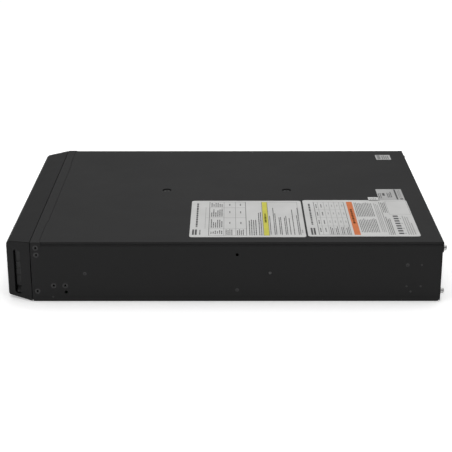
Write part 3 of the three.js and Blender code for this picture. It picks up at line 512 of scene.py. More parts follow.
# %% Folded section
def folded(points, radius=1.4, thickness=SHEET, steps=4):
    """Outline of a bent sheet from the corners of its middle line."""
    middle = []
    points = [Vector(p) for p in points]
    for i, p in enumerate(points):
        into = (p - points[i - 1]).normalized() if i else None
        out = (points[i + 1] - p).normalized() if i + 1 < len(points) else None
        if into is None or out is None:
            along = out or into
            middle.append((p, Vector((-along.y, along.x))))
            continue
        turn_by = math.atan2(into.x * out.y - into.y * out.x, into.dot(out))
        side = math.copysign(1, turn_by)
        normal = Vector((-into.y, into.x))
        centre = p - into * radius * math.tan(abs(turn_by) / 2) + normal * side * radius
        for k in range(steps + 1):
            spun = Matrix.Rotation(turn_by * k / steps, 2) @ normal
            middle.append((centre - spun * side * radius, spun))
    left = [tuple(p + n * thickness / 2) for p, n in middle]
    right = [tuple(p - n * thickness / 2) for p, n in middle]
    return left + right[::-1]


# %% [markdown]
# The chassis is one folded sheet: a base, two side walls and a narrow flange at the top of each wall for
# the lid to rest on. Just behind the bezel the walls stand full height. Five kinds of feature are cut in the
# walls. Dimples are pressed in like a shallow cone so that a flat-headed screw sits flush, and punched forms
# are a smaller version of them. Some holes are plain, some are pilot marks that don't go through, and one in
# each wall holds a rivet.

# %% Chassis tray
STRIP = 13.5  # depth of the full-height strip behind the bezel
MID_WALL = HALF - SHEET / 2
LEDGE = 10.0  # width of the flange that the lid sits on
SIDE_FEATURES = [
    (7.0, 77.0, "dimple"), (7.4, 67.0, "dimple"), (7.1, 15.0, "dimple"),
    (29.0, 23.0, "dimple"), (44.5, 23.0, "dimple"), (45.5, 13.8, "hole"), (27.6, 6.8, "pilot"),
    (71.5, 40.5, "punch"), (275.5, 67.5, "hole"), (275.5, 16.8, "punch"), (319.5, 41.2, "rivet"),
    (503.0, 52.6, "punch"), (522.0, 52.6, "pilot"), (503.0, 22.0, "pilot"), (522.0, 22.0, "pilot"),
    (508.6, 14.3, "pilot"),
]
CUTTER = {  # profiles of (radius, depth) measured inwards from the wall's face
    "dimple": [(0, -0.5), (4.2, -0.5), (3.7, 0.0), (1.4, 1.0), (1.4, 2.4), (0, 2.4)],
    "hole": [(0, -0.5), (2.3, -0.5), (2.1, 0.2), (2.1, 2.4), (0, 2.4)],
    "pilot": [(0, -0.5), (2.0, -0.5), (1.3, 0.15), (0.9, 0.4), (0, 0.4)],
    "punch": [(0, -0.5), (3.0, -0.5), (2.5, 0.0), (0.9, 0.8), (0.9, 2.4), (0, 2.4)],
    "rivet": [(0, -0.5), (2.4, -0.5), (2.2, 0.1), (1.7, 2.4), (0, 2.4)],
}
HIGHLIGHTED_FORMS = ("dimple", "punch", "pilot")  # their slopes get the lighter paint: a painted highlight


def side_wall_cutters():
    cutters = bmesh.new()
    for side in (1, -1):
        for y, z, kind in SIDE_FEATURES:
            turned(cutters, CUTTER[kind], (side * HALF, y, z), (-side, 0, 0), 20)
    return cutters


def corner_cutters(radius=4.0):
    """Takes the sharp lower corners off the front and rear ends of each side wall."""
    cutters = bmesh.new()
    quarter = [(radius * (1 - math.sin(t)), radius * (1 - math.cos(t)))
               for t in (math.radians(15 * k) for k in range(7))]
    outline = [(-1, radius), *quarter[::-1], (radius, -1), (-1, -1)]
    for side in (1, -1):
        x = sorted((side * (HALF + 1), side * (HALF - SHEET - 2.2)))
        prism(cutters, outline, "x", *x)
        prism(cutters, [(TRAY_HIGH.y - y, z) for y, z in outline], "x", *x)
    return cutters


def rear_edge_cutter(radius=4.0):
    """Rounds the whole lower rear edge, where the base turns up to meet the rear panel."""
    cutter = bmesh.new()
    back = PANEL_HIGH.y
    steps = [math.radians(15 * k) for k in range(7)]
    arc = [(back - radius + radius * math.sin(t), radius - radius * math.cos(t)) for t in steps]
    prism(cutter, [*arc, (back + 2, radius), (back + 2, -2), (back - radius, -2)], "x", -HALF - 1, HALF + 1)
    return cutter


def paint_form_highlights(wall):
    """Gives the slopes of the pressed forms the lighter paint, a painted highlight."""
    inverse = TO_FRAME.inverted()
    spots = [Vector((y, z)) for y, z, kind in SIDE_FEATURES if kind in HIGHLIGHTED_FORMS]
    for face in wall.data.polygons:
        at = inverse @ face.center
        if 0.05 < HALF - abs(at.x) < 1.05 and any((Vector((at.y, at.z)) - spot).length < 3.9
                                                  for spot in spots):
            face.material_index = 1


def chassis_tray():
    walls = [(HALF - LEDGE, SEAT - SHEET / 2), (MID_WALL, SEAT - SHEET / 2), (MID_WALL, SHEET / 2)]
    horns = [(MID_WALL, HEIGHT), (MID_WALL, SHEET / 2)]
    mirrored = lambda half: half + [(-x, z) for x, z in reversed(half)]
    shell = bmesh.new()
    prism(shell, folded(mirrored(walls)), "y", STRIP, TRAY_HIGH.y)
    tray = as_object("tray_shell", shell)
    front = bmesh.new()
    prism(front, folded(mirrored(horns)), "y", 0, STRIP + 0.01)
    combine(tray, front, "UNION")
    flanges = bmesh.new()
    for side in (1, -1):
        outline = round_rectangle(sorted((side * 203, side * (HALF - 0.6))), (0.6, SEAT - 0.6), 1.0)
        prism(flanges, outline, "y", TRAY_HIGH.y - SHEET, TRAY_HIGH.y)
    combine(tray, flanges, "UNION")
    combine(tray, side_wall_cutters())
    combine(tray, rear_edge_cutter())
    combine(tray, corner_cutters())
    dress(tray, PAINT, "chassis", 0.22, replaces=["chassis_tray"])
    # painted highlight on the slopes of the pressed forms
    paint_form_highlights(tray)
    return tray


tray = chassis_tray()
print("tray faces:", len(tray.data.polygons))


def rear_panel():
    """The model's own panel with its lower edge rounded to follow the base."""
    node = frame["nodes"]["rear_panel"]
    data = node.data.copy()
    data.transform(node.matrix_world)
    panel = bpy.data.objects.new("rear_panel_sheet", data)
    bpy.context.scene.collection.objects.link(panel)
    combine(panel, rear_edge_cutter())
    return dress(panel, PAINT, "chassis", 0.25, replaces=["rear_panel"])


print("rear panel faces:", len(rear_panel().data.polygons))

# %% [markdown]
# What fills some of those holes is a piece of its own: a plain rivet shows as a small grey dome, and the
# threaded inserts behind the punched holes show as a dark ring. Small turned solids are enough.

# %% Rivets and inserts
def rivets():
    heads = bmesh.new()
    for side in (1, -1):
        for y, z, kind in SIDE_FEATURES:
            if kind == "rivet":
                profile = [(0, -0.05), (1.2, -0.1), (2.0, -0.35), (2.05, -1.4), (0, -1.4)]
                turned(heads, profile, (side * HALF, y, z), (side, 0, 0), 20)
    return dress(as_object("rail_rivets", heads), DULL_STEEL, "chassis", 0)


def inserts():
    rings = bmesh.new()
    for side in (1, -1):
        for y, z, kind in SIDE_FEATURES:
            if kind == "punch":
                inside = side * (HALF - SHEET - 0.1)
                profile = [(0, 0), (3.4, 0), (3.4, 2.2), (1.1, 2.6), (1.1, 0.6), (0, 0.6)]
                turned(rings, profile, (inside, y, z), (-side, 0, 0), 18)
    return dress(as_object("press_nuts", rings), BLACK_STEEL, "chassis", 0)


rivets()
inserts()

# %% [markdown]
# The lid is a second folded sheet. Its side flanges stand a little inside the walls, so a dark groove runs
# the length of the unit under a thin lit ledge. Its front edge has shallow steps, which locate it against
# the strip behind the bezel, and its rear lip has a row of tabs for screws. Two dimples in the middle take
# the flat-headed screws that tie it to the battery bay.

# %% Lid
LID_SIDE = LID_HIGH.x
LID_FRONT = STRIP + 0.1
FRONT_STEPS = [(LID_SIDE + 2, -1.5), (145, -1.5), (130, 0), (-130, 0), (-145, -1.5), (-LID_SIDE - 2, -1.5)]
TAB_XS = (114, 24, -66, -156)
CORNER_X = 209  # corner screws, from the middle
LID_SCREWS = [(-7.0, 171.8), (-6.5, 350.5)]


def lid():
    top = HEIGHT - SHEET / 2
    half = [(LID_SIDE - SHEET / 2, SEAT + 0.35), (LID_SIDE - SHEET / 2, top)]
    section = folded(half + [(-x, z) for x, z in reversed(half)], 0.7)
    sheet = bmesh.new()
    prism(sheet, section, "y", STRIP - 3, LID_HIGH.y - SHEET - 0.2)
    cover = as_object("lid", sheet)
    lip = bmesh.new()
    lip_section = folded([(LID_HIGH.y - 6, top), (LID_HIGH.y - SHEET / 2, top),
                          (LID_HIGH.y - SHEET / 2, 80.5)], 1.2)
    prism(lip, lip_section, "x", -LID_SIDE + 0.4, LID_SIDE - 0.4)
    combine(cover, lip, "UNION")
    tabs = bmesh.new()
    for x in (*TAB_XS, CORNER_X, -CORNER_X):
        half_wide = LID_SIDE - CORNER_X if abs(x) == CORNER_X else 4.9
        outline = round_rectangle((x - half_wide, x + half_wide), (LID_LOW.z, 82), 2.2)
        prism(tabs, outline, "y", LID_HIGH.y - SHEET, LID_HIGH.y)
    combine(cover, tabs, "UNION")
    edge = bmesh.new()
    outline = [(x, LID_FRONT + step) for x, step in FRONT_STEPS]
    prism(edge, outline + [(-LID_SIDE - 2, 5), (LID_SIDE + 2, 5)], "z", 75, 90)
    combine(cover, edge)
    cups, recesses = bmesh.new(), bmesh.new()
    for x, y in LID_SCREWS:
        turned(cups, [(0, -3.2), (7.0, -3.2), (8.2, -1.1), (8.2, -0.5), (0, -0.5)], (x, y, HEIGHT),
               (0, 0, 1), 40)
        turned(recesses, [(0, 1), (7.2, 1), (7.0, 0), (6.3, -2.2), (0, -2.2)], (x, y, HEIGHT), (0, 0, 1), 40)
    combine(cover, cups, "UNION")
    combine(cover, recesses)
    return dress(cover, PAINT, "chassis", 0.25, replaces=["top_cover"])


cover = lid()
print("lid faces:", len(cover.data.polygons))


# %% [markdown]
# Screws are made once and copied. A pan head is a turned dome with a cross-shaped recess cut into it, and a
# flat head is a cone with a six-lobed recess. The cut is what makes a screw read as a screw, so it is a real
# boolean and not a bump.

# %% Screws
def recess(mesh, kind, size, top, depth):
    """The driver's recess, cut down from the head's top along Z."""
    if kind == "cross":
        for a, b in ((size, size * 0.22), (size * 0.22, size)):
            block(mesh, (-a, a), (-b, b), (top - depth, top + 1))
        return
    points = [(size * (1 + 0.16 * math.cos(6 * t)) * math.cos(t),
               size * (1 + 0.16 * math.cos(6 * t)) * math.sin(t))
              for t in (math.tau * k / 36 for k in range(36))]
    prism(mesh, points, "z", top - depth, top + 1)


def screw_head(name, profile, kind, size, top, depth):
    """A head that faces up +Z at the datum, kept as a pattern for copies."""
    drawing = bmesh.new()
    turned(drawing, profile, (0, 0, 0), (0, 0, 1), 32)
    head = as_object(name, drawing)
    cutter = bmesh.new()
    recess(cutter, kind, size, top, depth)
    combine(head, cutter)
    pattern = head.data
    pattern.transform(TO_FRAME.inverted())
    bpy.data.objects.remove(head)
    return pattern


def dome(radius, height, shoulder=0.45, steps=5):
    """Profile of a pan head: a short straight side under a rounded top."""
    side = [(0, -1.5), (radius * 0.4, -1.5), (radius * 0.4, 0), (radius, 0), (radius, height * shoulder)]
    for k in range(1, steps + 1):
        t = math.radians(90 * k / steps)
        side.append((radius * (0.45 + 0.55 * math.cos(t)),
                     height * (shoulder + (1 - shoulder) * math.sin(t))))
    return side + [(0, height)]


def washer_head(radius, height):
    """A pan head with its washer under it."""
    washer = [(0, -1.5), (1.6, -1.5), (1.6, 0), (radius, 0), (radius, 0.8), (radius - 0.45, 0.8)]
    top = [(r, h + 0.8) for r, h in dome(radius - 0.45, height - 0.8)[3:]]
    return washer + top


SEAT_GAP = 0.3
UPPER_TALL = size_mm("corner_screw_upper_right")[1].y - LID_HIGH.y - SEAT_GAP
LOWER_TALL = size_mm("corner_screw_lower_right")[1].y - PANEL_HIGH.y - SEAT_GAP
PAN = screw_head("pan_head", dome(2.9, 1.7), "cross", 1.6, 1.7, 1.1)
UPPER = screw_head("upper_corner_head", washer_head(4.2, UPPER_TALL), "cross", 2.2, UPPER_TALL, 1.5)
LOWER = screw_head("lower_corner_head", washer_head(4.2, LOWER_TALL), "cross", 2.2, LOWER_TALL, 1.8)
FLAT = screw_head("flat_head", [(0, -2), (2.6, -2), (4.4, -0.5), (4.4, 0), (0, 0)], "lobes", 1.5, 0, 0.9)


def screw(name, pattern, at, axis, finish, body, replaces=(), turn_deg=0):
    """A copy of a head at a point, facing along an axis."""
    data = pattern.copy()
    spin = Matrix.Rotation(math.radians(turn_deg), 4, "Z")
    facing = Vector(axis).to_track_quat("Z", "Y").to_matrix().to_4x4()
    data.transform(TO_FRAME @ Matrix.Translation(at) @ facing @ spin)
    data.name = name
    obj = bpy.data.objects.new(name, data)
    bpy.context.scene.collection.objects.link(obj)
    return dress(obj, finish, body, 0.12, 2, replaces)


for i, (x, y) in enumerate(LID_SCREWS):
    screw(f"lid_screw_{i + 1}", FLAT, (x, y, HEIGHT - 1.35), (0, 0, 1), BLACK_STEEL,
          "chassis", turn_deg=20 * i)
for i, x in enumerate(TAB_XS):
    screw(f"lip_screw_{i + 1}", PAN, (x, LID_HIGH.y, 75.2), (0, 1, 0), BLACK_STEEL, "chassis",
          turn_deg=31 * i)
for side, sign in (("right", 1), ("left", -1)):
    for level, pattern, seat, angle in (("upper", UPPER, LID_HIGH.y, 12), ("lower", LOWER, PANEL_HIGH.y, 40)):
        node = f"corner_screw_{level}_{side}"
        low, high = size_mm(node)
        at = ((low.x + high.x) / 2, seat + SEAT_GAP, (low.z + high.z) / 2)
        screw(f"{level}_{side}_screw", pattern, at, (0, 1, 0), SCREW_ZINC, "chassis", [node],
              angle)
print("screws placed:", 2 + len(TAB_XS) + 4)

# %% [markdown]
# The bezel is injection moulded. Its ends, top and underside all taper in towards the front, its front top
# edge has a generous radius, and each end has a tall slot to pull it by. It could be carved from a cube
# with bevels, but a loft gives each edge its own radius: a rounded rectangle is drawn at a row of stations
# from the seam to the front, and near the front each side closes in along its own arc.

# %% Bezel shell
BEZEL_DEPTH = 35.0
END_TAPER = 17.0
TOP_TAPER = 3.4
CROWN, LOWER, END = 5.5, 3.0, 1.2  # radii of the front edge at the top, the bottom and the ends
SEAM_GAP = 0.9
LIFT = 0.5


def closing(radius, depth):
    """How far a side has closed in where the front face is still depth away."""
    if depth >= radius:
        return 0.0
    return radius - math.sqrt(max(radius * radius - (radius - depth) ** 2, 0.0))


def bezel_solid(mesh, inset, back):
    """The bezel's outer form, taken in by an amount on every side."""
    front = -BEZEL_DEPTH + inset
    crown, lower, end = (max(r - inset, 0.4) for r in (CROWN, LOWER, END))
    depths = sorted({BEZEL_DEPTH - inset + back, 18.0, 9.0, crown, crown * 0.72, crown * 0.5, crown * 0.33,
                     crown * 0.2, crown * 0.1, crown * 0.03, lower, lower * 0.5, end, 0.0}, reverse=True)
    rings = []
    for depth in depths:
        y = front + depth
        square_to_end = inset * math.hypot(1, END_TAPER / BEZEL_DEPTH)
        half = HALF - square_to_end + y * END_TAPER / BEZEL_DEPTH - closing(end, depth)
        top = HEIGHT - inset + y * TOP_TAPER / BEZEL_DEPTH - closing(crown, depth)
        base = LIFT + inset - y * TOP_TAPER / BEZEL_DEPTH + closing(lower, depth)
        outline = round_rectangle((-half, half), (base, top), 1.1)
        rings.append([mesh.verts.new((x, y, z)) for x, z in outline])
    faces = [mesh.faces.new(rings[0]), mesh.faces.new(rings[-1])]
    for a, b in zip(rings, rings[1:]):
        for i in range(len(a)):
            j = (i + 1) % len(a)
            faces.append(mesh.faces.new((a[i], a[j], b[j], b[i])))
    bmesh.ops.recalc_face_normals(mesh, faces=faces)
    return faces


GRIP_Y = (-25.0, -15.5)
GRIP_Z = (8.0, 71.0)
GRIP_FLOOR = 192.5
WALL = 2.4
AIR_X, AIR_BAR, AIR_ROWS, AIR_Z, AIR_SLOT, AIR_PITCH = (-182.0, 74.0), 6.0, 7, 14.0, 4.2, 8.4
POD_LOW, POD_HIGH = size_mm("display_housing")
CLIP_X, CLIP_ZS = 207.5, (20, 67)


def bezel():
    outer = bmesh.new()
    bezel_solid(outer, 0.0, -SEAM_GAP)
    shell = as_object("bezel_shell", outer)
    inner = bmesh.new()
    bezel_solid(inner, WALL, 1.0)
    combine(shell, inner)

    walls = bmesh.new()
    y = (GRIP_Y[0] - 2, GRIP_Y[1] + 2)
    edge_x = [HALF + v * END_TAPER / BEZEL_DEPTH - 0.8 for v in y]
    for side in (1, -1):
        foot = side * (GRIP_FLOOR - WALL)
        outline = [(foot, y[0]), (side * edge_x[0], y[0]), (side * edge_x[1], y[1]), (foot, y[1])]
        prism(walls, outline, "z", GRIP_Z[0] - 2, GRIP_Z[1] + 2)
        for z in CLIP_ZS:
            block(walls, sorted((side * (CLIP_X - 2), side * (CLIP_X + 1.5))), (-11, 6), (z - 3.5, z + 3.5))
            block(walls, sorted((side * (CLIP_X - 2), side * (HALF - 4.6))), (-6, -1.5), (z - 1, z + 1))
    combine(shell, walls, "UNION")

    cutters = bmesh.new()
    for side in (1, -1):
        outline = round_rectangle(GRIP_Y, GRIP_Z, 3.6, 6)
        prism(cutters, outline, "x", *sorted((side * GRIP_FLOOR, side * (HALF + 2))))
        block(cutters, sorted((side * (HALF - 12), side * (HALF + 1))), (-1.3, 1), (27, 58))
    combine(shell, cutters)

    openings = bmesh.new()
    columns = 3
    wide = (AIR_X[1] - AIR_X[0] - AIR_BAR * (columns - 1)) / columns
    for column in range(columns):
        x0 = AIR_X[0] + column * (wide + AIR_BAR)
        for row in range(AIR_ROWS):
            z0 = AIR_Z + row * AIR_PITCH
            prism(openings, round_rectangle((x0, x0 + wide), (z0, z0 + AIR_SLOT), 2.0), "y", -36, -31)
    window = round_rectangle((POD_LOW.x - 1.4, POD_HIGH.x + 1.4), (POD_LOW.z - 1.2, POD_HIGH.z + 1.5), 1.6)
    prism(openings, window, "y", -36, -29)
    combine(shell, openings)
    return dress(shell, BEZEL_PLASTIC, "bezel", 0.5, 3, replaces=["bezel"])


bezel_shell = bezel()
print("bezel faces:", len(bezel_shell.data.polygons))

# %% [markdown]
# Inside each finger slot lies a pad, a little paler than the shell: the paler colour is painted light on the
# floor of the slot. It is a thin strip with round ends and three grooves across it.

# %% Finger pads
def grip_pads():
    for side, name in ((1, "right"), (-1, "left")):
        pad = bmesh.new()
        outline = round_rectangle((GRIP_Y[0] + 1.2, GRIP_Y[1] - 0.6), (GRIP_Z[0] + 7, GRIP_Z[1] - 2), 2.8, 6)
        prism(pad, outline, "x", *sorted((side * (GRIP_FLOOR + 0.1), side * (GRIP_FLOOR + 2.4))))
        strip = as_object(f"grip_pad_{name}", pad)
        grooves = bmesh.new()
        for z in (30, 40, 50):
            block(grooves, sorted((side * (GRIP_FLOOR + 1.7), side * (GRIP_FLOOR + 4))), (-30, -10),
                  (z, z + 1.2))
        combine(strip, grooves)
        dress(strip, PAINTED_LIGHT_GRIP, "bezel", 0.3)
        # a ramp at the slot's bottom end in the same paler plastic: painted light where that end catches it
        scoop = bmesh.new()
        out = HALF + GRIP_Y[0] * END_TAPER / BEZEL_DEPTH - 1.5
        ramp = [(side * (GRIP_FLOOR + 0.1), GRIP_Z[0] + 0.4), (side * out, GRIP_Z[0] + 0.4),
                (side * out, GRIP_Z[0] + 0.9),
                (side * (GRIP_FLOOR + 2), GRIP_Z[0] + 6.5), (side * (GRIP_FLOOR + 0.1), GRIP_Z[0] + 6.5)]
        prism(scoop, ramp, "y", GRIP_Y[0] + 2.4, GRIP_Y[1] - 1.0)
        dress(as_object(f"grip_scoop_{name}", scoop), PAINTED_LIGHT_GRIP, "bezel", 0.5)


grip_pads()


# %% [markdown]
# Five paper labels lie on the lid. A label is a thin sheet with round corners, and its printing is thinner
# still: rules, boxes, coloured bands and lines of small type. Nothing here is meant to be read, so the type
# is plain dashes of random length, drawn from a seeded generator so that they come out the same every time.
# A picture mapped onto the sheet would be the usual way, but flat strips a few hundredths of a millimetre
# high stay sharp at any distance and need no image.

# %% Printing on a label
PAPER = (HEIGHT + 0.05, HEIGHT + 0.14)
PRINT = (HEIGHT + 0.15, HEIGHT + 0.19)
INKS = {"black": INK, "grey": SOFT_INK, "yellow": YELLOW, "orange": ORANGE, "brown": BROWN}


class Label:
    """A sheet on the lid with one drawing for each ink."""

    def __init__(self, name, x, y, stock, corner, seed, replaces=()):
        self.name = name
        self.inks = {}
        self.dice = random.Random(seed)
        sheet = bmesh.new()
        prism(sheet, round_rectangle(x, y, corner), "z", *PAPER)
        dress(as_object(name, sheet), stock, "chassis", 0, replaces=replaces)

    def bar(self, ink, x, y):
        """A filled rectangle."""
        block(self.inks.setdefault(ink, bmesh.new()), x, y, PRINT)

    def rules(self, ink, x, ys, width=0.45):
        """Straight lines along X."""
        for y in ys:
            self.bar(ink, x, (y - width / 2, y + width / 2))

    def cross_rules(self, ink, xs, y, width=0.45):
        """Straight lines along Y."""
        for x in xs:
            self.bar(ink, (x - width / 2, x + width / 2), y)

    def words(self, ink, x, y, height=1.3, longest=8.0):
        """One line of dashes between two ends."""
        at = x[0]
        while at < x[1] - 1.0:
            end = min(at + self.dice.uniform(0.3, 1.0) * longest, x[1])
            self.bar(ink, (at, end), (y - height / 2, y + height / 2))
            at = end + height * 0.8

    def paragraph(self, ink, x, y, pitch=2.6, height=1.2, ragged=0.25, longest=8.0):
        """Lines of dashes whose far ends differ."""
        at = y[0] + height / 2
        while at < y[1]:
            short = (x[1] - x[0]) * self.dice.uniform(0, ragged)
            self.words(ink, (x[0] + short, x[1]), at, height, longest)
            at += pitch

    def finish(self):
        for ink, drawing in self.inks.items():
            dress(as_object(f"{self.name}_{ink}_print", drawing), INKS[ink], "chassis", 0)
        print(self.name, "printed in", ", ".join(self.inks))


# %% [markdown]
# The front sheet holds a heading, a table of ratings, a yellow band and a block of fine print. The order of
# the calls below is the order on the sheet, from the bezel towards the rear.

# %% Front label
def front_label():
    label = Label("front_label", (44, 196), (211, 368.5), LABEL, 4, 11, ["label_front"])
    label.words("black", (56, 156), 220, 2.5, 11)
    label.bar("black", (166, 187), (214.5, 217))
    label.bar("black", (166, 187), (218.2, 220.8))
    label.words("black", (168, 187), 225, 1.4)
    label.rules("grey", (73, 163), [231.7])
    label.rules("black", (50, 190), [237, 288.3], 0.7)
    label.rules("grey", (50, 190), [257.5, 273.8], 0.6)
    label.cross_rules("grey", [50, 75, 163, 190], (237, 288.3), 0.6)
    label.cross_rules("grey", [118], (231.7, 288.3), 0.6)
    for x in ((54, 72), (78, 114), (122, 159), (169, 184)):
        label.paragraph("black", x, (239.5, 255), 2.9, 1.3, 0.5)
    for y in ((260, 271), (275.5, 286)):
        label.paragraph("black", (165, 188), y, 2.6, 1.2, 0.2)
    for x in (62, 95, 140):
        for y in (265.7, 281):
            label.words("black", (x - 4, x + 4), y, 1.6, 4)
    label.paragraph("black", (118, 189), (292, 304), 3.0, 1.3, 0.3)
    label.paragraph("black", (92, 189), (305.5, 311), 2.8, 1.3, 0.1)
    label.bar("yellow", (50, 190), (312, 319))
    label.bar("black", (50, 190), (319.1, 319.7))
    label.bar("black", (50, 190), (311.2, 311.8))
    label.words("black", (101, 139), 315.5, 2.6, 6)
    for y, lines in ((321, 1), (326.5, 2), (334, 2), (341.5, 2), (348, 1), (353, 1), (359, 2)):
        label.paragraph("black", (66, 187), (y, y + 2.2 * lines), 2.2, 1.0, 0.45, 26)
    label.rules("grey", (50, 110), [362.5])
    label.cross_rules("grey", [51.7], (319, 362.5))
    label.words("grey", (168, 180), 364.5, 1.2)
    label.finish()


front_label()


# %% [markdown]
# The rear sheet is laid out in the same way around an orange band, with fine print in two columns and a row
# of small plain squares where the real sheet carries marks.

# %% Rear label
def rear_label():
    label = Label("rear_label", (41.3, 193.5), (371.2, 522.5), LABEL, 4, 23, ["label_rear"])
    label.words("black", (58, 147), 379.7, 2.5, 10)
    label.bar("black", (160, 187), (376, 378.6))
    label.bar("black", (160, 187), (379.8, 382.4))
    label.rules("black", (50, 187), [386.7, 430], 0.7)
    label.rules("grey", (50, 187), [392.5, 401, 408.3, 416, 423], 0.5)
    label.cross_rules("grey", [50, 84, 118, 152, 187], (386.7, 430), 0.5)
    for y in (389.7, 396.8):
        for x in (60, 94, 128, 160):
            label.words("black", (x, x + 16), y, 1.5, 6)
    for y in (403, 410.3, 418, 425):
        label.paragraph("black", (154, 186), (y, y + 3.5), 2.4, 1.1, 0.25)
        for x in (62, 96, 130):
            label.words("grey", (x, x + 9), y + 1.8, 1.4, 4)
    label.bar("orange", (49, 187.5), (434, 442.5))
    label.words("brown", (82, 142), 438.2, 3.0, 6)
    for x in ((52, 113), (121, 178)):
        label.paragraph("black", x, (445, 471), 2.35, 1.0, 0.12, 5)
    label.paragraph("grey", (52, 177), (473, 480), 2.35, 1.0, 0.1, 5)
    label.rules("black", (50, 187), [481.5], 0.6)
    for x in ((52, 97), (113, 187)):
        label.paragraph("black", x, (483.5, 489), 2.4, 1.1, 0.15, 5)
    for k in range(8):
        x = 109 + 10 * k
        label.bar("black", (x, x + 5.5), (494.5, 501.5))
        if k % 2:
            label.bar("grey", (x + 0.8, x + 4.7), (503, 504.4))
    label.paragraph("grey", (108, 187), (507, 518), 3.0, 1.2, 0.5)
    label.rules("grey", (46, 104), [491, 521])
    label.cross_rules("grey", [46, 104], (491, 521))
    label.finish()


rear_label()


# %% [markdown]
# Three small labels complete the set: a grey one beside the rear sheet, a narrow one in front of it, and
# another grey one in the far rear corner with a pattern of stripes. A barcode reads as stripes of random
# width, so a plain row of stripes stands for it.

# %% Small labels
def stripes(label, x, y):
    at = x[0]
    while at < x[1]:
        width = label.dice.choice((0.35, 0.6, 0.95))
        label.bar("black", (at, min(at + width, x[1])), y)
        at += width + label.dice.choice((0.4, 0.7, 1.1))


def small_labels():
    beside = Label("side_label", (-10.0, 41), (483.5, 521.5), LABEL_GREY, 2, 37)
    beside.paragraph("black", (5, 33), (485, 489), 2.6, 1.2)
    beside.bar("black", (9, 21), (491, 494.5))
    beside.paragraph("black", (3, 29), (498, 506), 2.5, 1.2, 0.3)
    beside.bar("black", (-8, 38), (510, 512.2))
    beside.paragraph("grey", (-7, 30), (514.5, 519.5), 2.4, 1.1)
    beside.bar("black", (33.5, 38), (515, 519.5))
    beside.finish()

    narrow = Label("narrow_label", (27.5, 43.8), (468, 483), LABEL, 1.5, 41)
    narrow.paragraph("grey", (30, 41), (470.5, 480.5), 2.6, 1.2, 0.4, 4)
    narrow.finish()

    corner = Label("corner_label", (-189.5, -163), (502.5, 526.5), LABEL_GREY, 1.5, 53)
    stripes(corner, (-187, -166), (505, 510))
    corner.paragraph("black", (-187, -166), (512.5, 524), 3.0, 1.4, 0.3, 5)
    corner.finish()


small_labels()


# %% [markdown]
# The display pod keeps its shape from the model, and gets what makes it look like a display: a greenish
# liquid crystal panel in the dark window, with dark segments on it. Segments on a real panel are a fixed set
# of shapes that switch on and off. These are a row of level blocks, a scale and some dashes, none of them a
# letter.

# %% Display panel
WINDOW_LOW, WINDOW_HIGH = size_mm("display_window")
FACE_Y = WINDOW_LOW.y


def front_sheet(name, x, z, lift, thick, finish, body, corner=0.6, cut=()):
    """A thin piece lying on the pod's front face."""
    drawing = bmesh.new()
    outlines = cut or [round_rectangle(x, z, corner)]
    for outline in outlines:
        prism(drawing, outline, "y", FACE_Y - lift - thick, FACE_Y - lift)
    return dress(as_object(name, drawing), finish, body, 0)


def square(x, z, wide, high):
    return [(x, z), (x + wide, z), (x + wide, z + high), (x, z + high)]


def lcd():
    x = (WINDOW_LOW.x + 4, WINDOW_HIGH.x - 4)
    z = (WINDOW_LOW.z + 4, WINDOW_HIGH.z - 4)
    front_sheet("lcd_panel", x, z, 0.03, 0.12, LCD, "display")
    dice = random.Random(7)
    marks = [square(x[0] + 3 + 7 * k, z[0] + 3, 5.4, 5) for k in range(5)]
    marks += [square(x[0] + 3 + 7 * k, z[1] - 8, 5.4, 5) for k in range(3)]
    marks += [square(x[0] + 2, z[0] + 10.5, x[1] - x[0] - 4, 0.4)]
    marks += [square(x[0] + 42 + 2.2 * k, z[0] + 3, 0.6, 2 + k % 2) for k in range(5)]
    for row in range(3):
        at = x[0] + 3
        while at < x[1] - 12:
            wide = dice.uniform(2.5, 6)
            marks.append(square(at, z[0] + 13.5 + 2.6 * row, wide, 1.1))
            at += wide + 1.4
    front_sheet("lcd_segments", x, z, 0.17, 0.05, INK, "display", cut=marks)
    print("display segments:", len(marks))


lcd()

# %% [markdown]
# Keys need marks that say what they do. Plain shapes do that: a bar, two triangles and a dot on the menu
# keys, and a ring round the power key with a small green lamp in it. Each mark rides on its own key, so
# that it moves when the key is pressed.

# %% Keys and lamps
LAMP_GREEN = skin("green_lamp", (0.02, 0.3, 0.05), (0.03, 0.4, 0.07), (0.08, 0.14), drift=300, grain=3000,
                  depth=0.002)
LAMP_AMBER = skin("amber_lamp", (0.45, 0.16, 0.01), (0.55, 0.2, 0.015), (0.08, 0.14), drift=300, grain=3000,
                  depth=0.002)


def key_marks():
    for name, shape in (("escape", "bar"), ("up", "up"), ("down", "down"), ("ok", "dot")):
        low, high = size_mm(f"{name}_button")
        x, z = (low.x + high.x) / 2, (low.z + high.z) / 2 - 0.4
        size = 1.6
        outline = {
            "bar": [(x - size, z - 0.4), (x + size, z - 0.4), (x + size, z + 0.4), (x - size, z + 0.4)],
            "up": [(x - size, z - size * 0.7), (x + size, z - size * 0.7), (x, z + size * 0.8)],
            "down": [(x - size, z + size * 0.7), (x, z - size * 0.8), (x + size, z + size * 0.7)],
            "dot": [(x + 1.1 * math.cos(math.tau * k / 20), z + 1.1 * math.sin(math.tau * k / 20))
                    for k in range(20)],
        }[shape]
        drawing = bmesh.new()
        prism(drawing, outline, "y", low.y - 0.03, low.y + 0.1)
        dress(as_object(f"{name}_key_mark", drawing), WHITE_PRINT, f"{name}_button", 0)


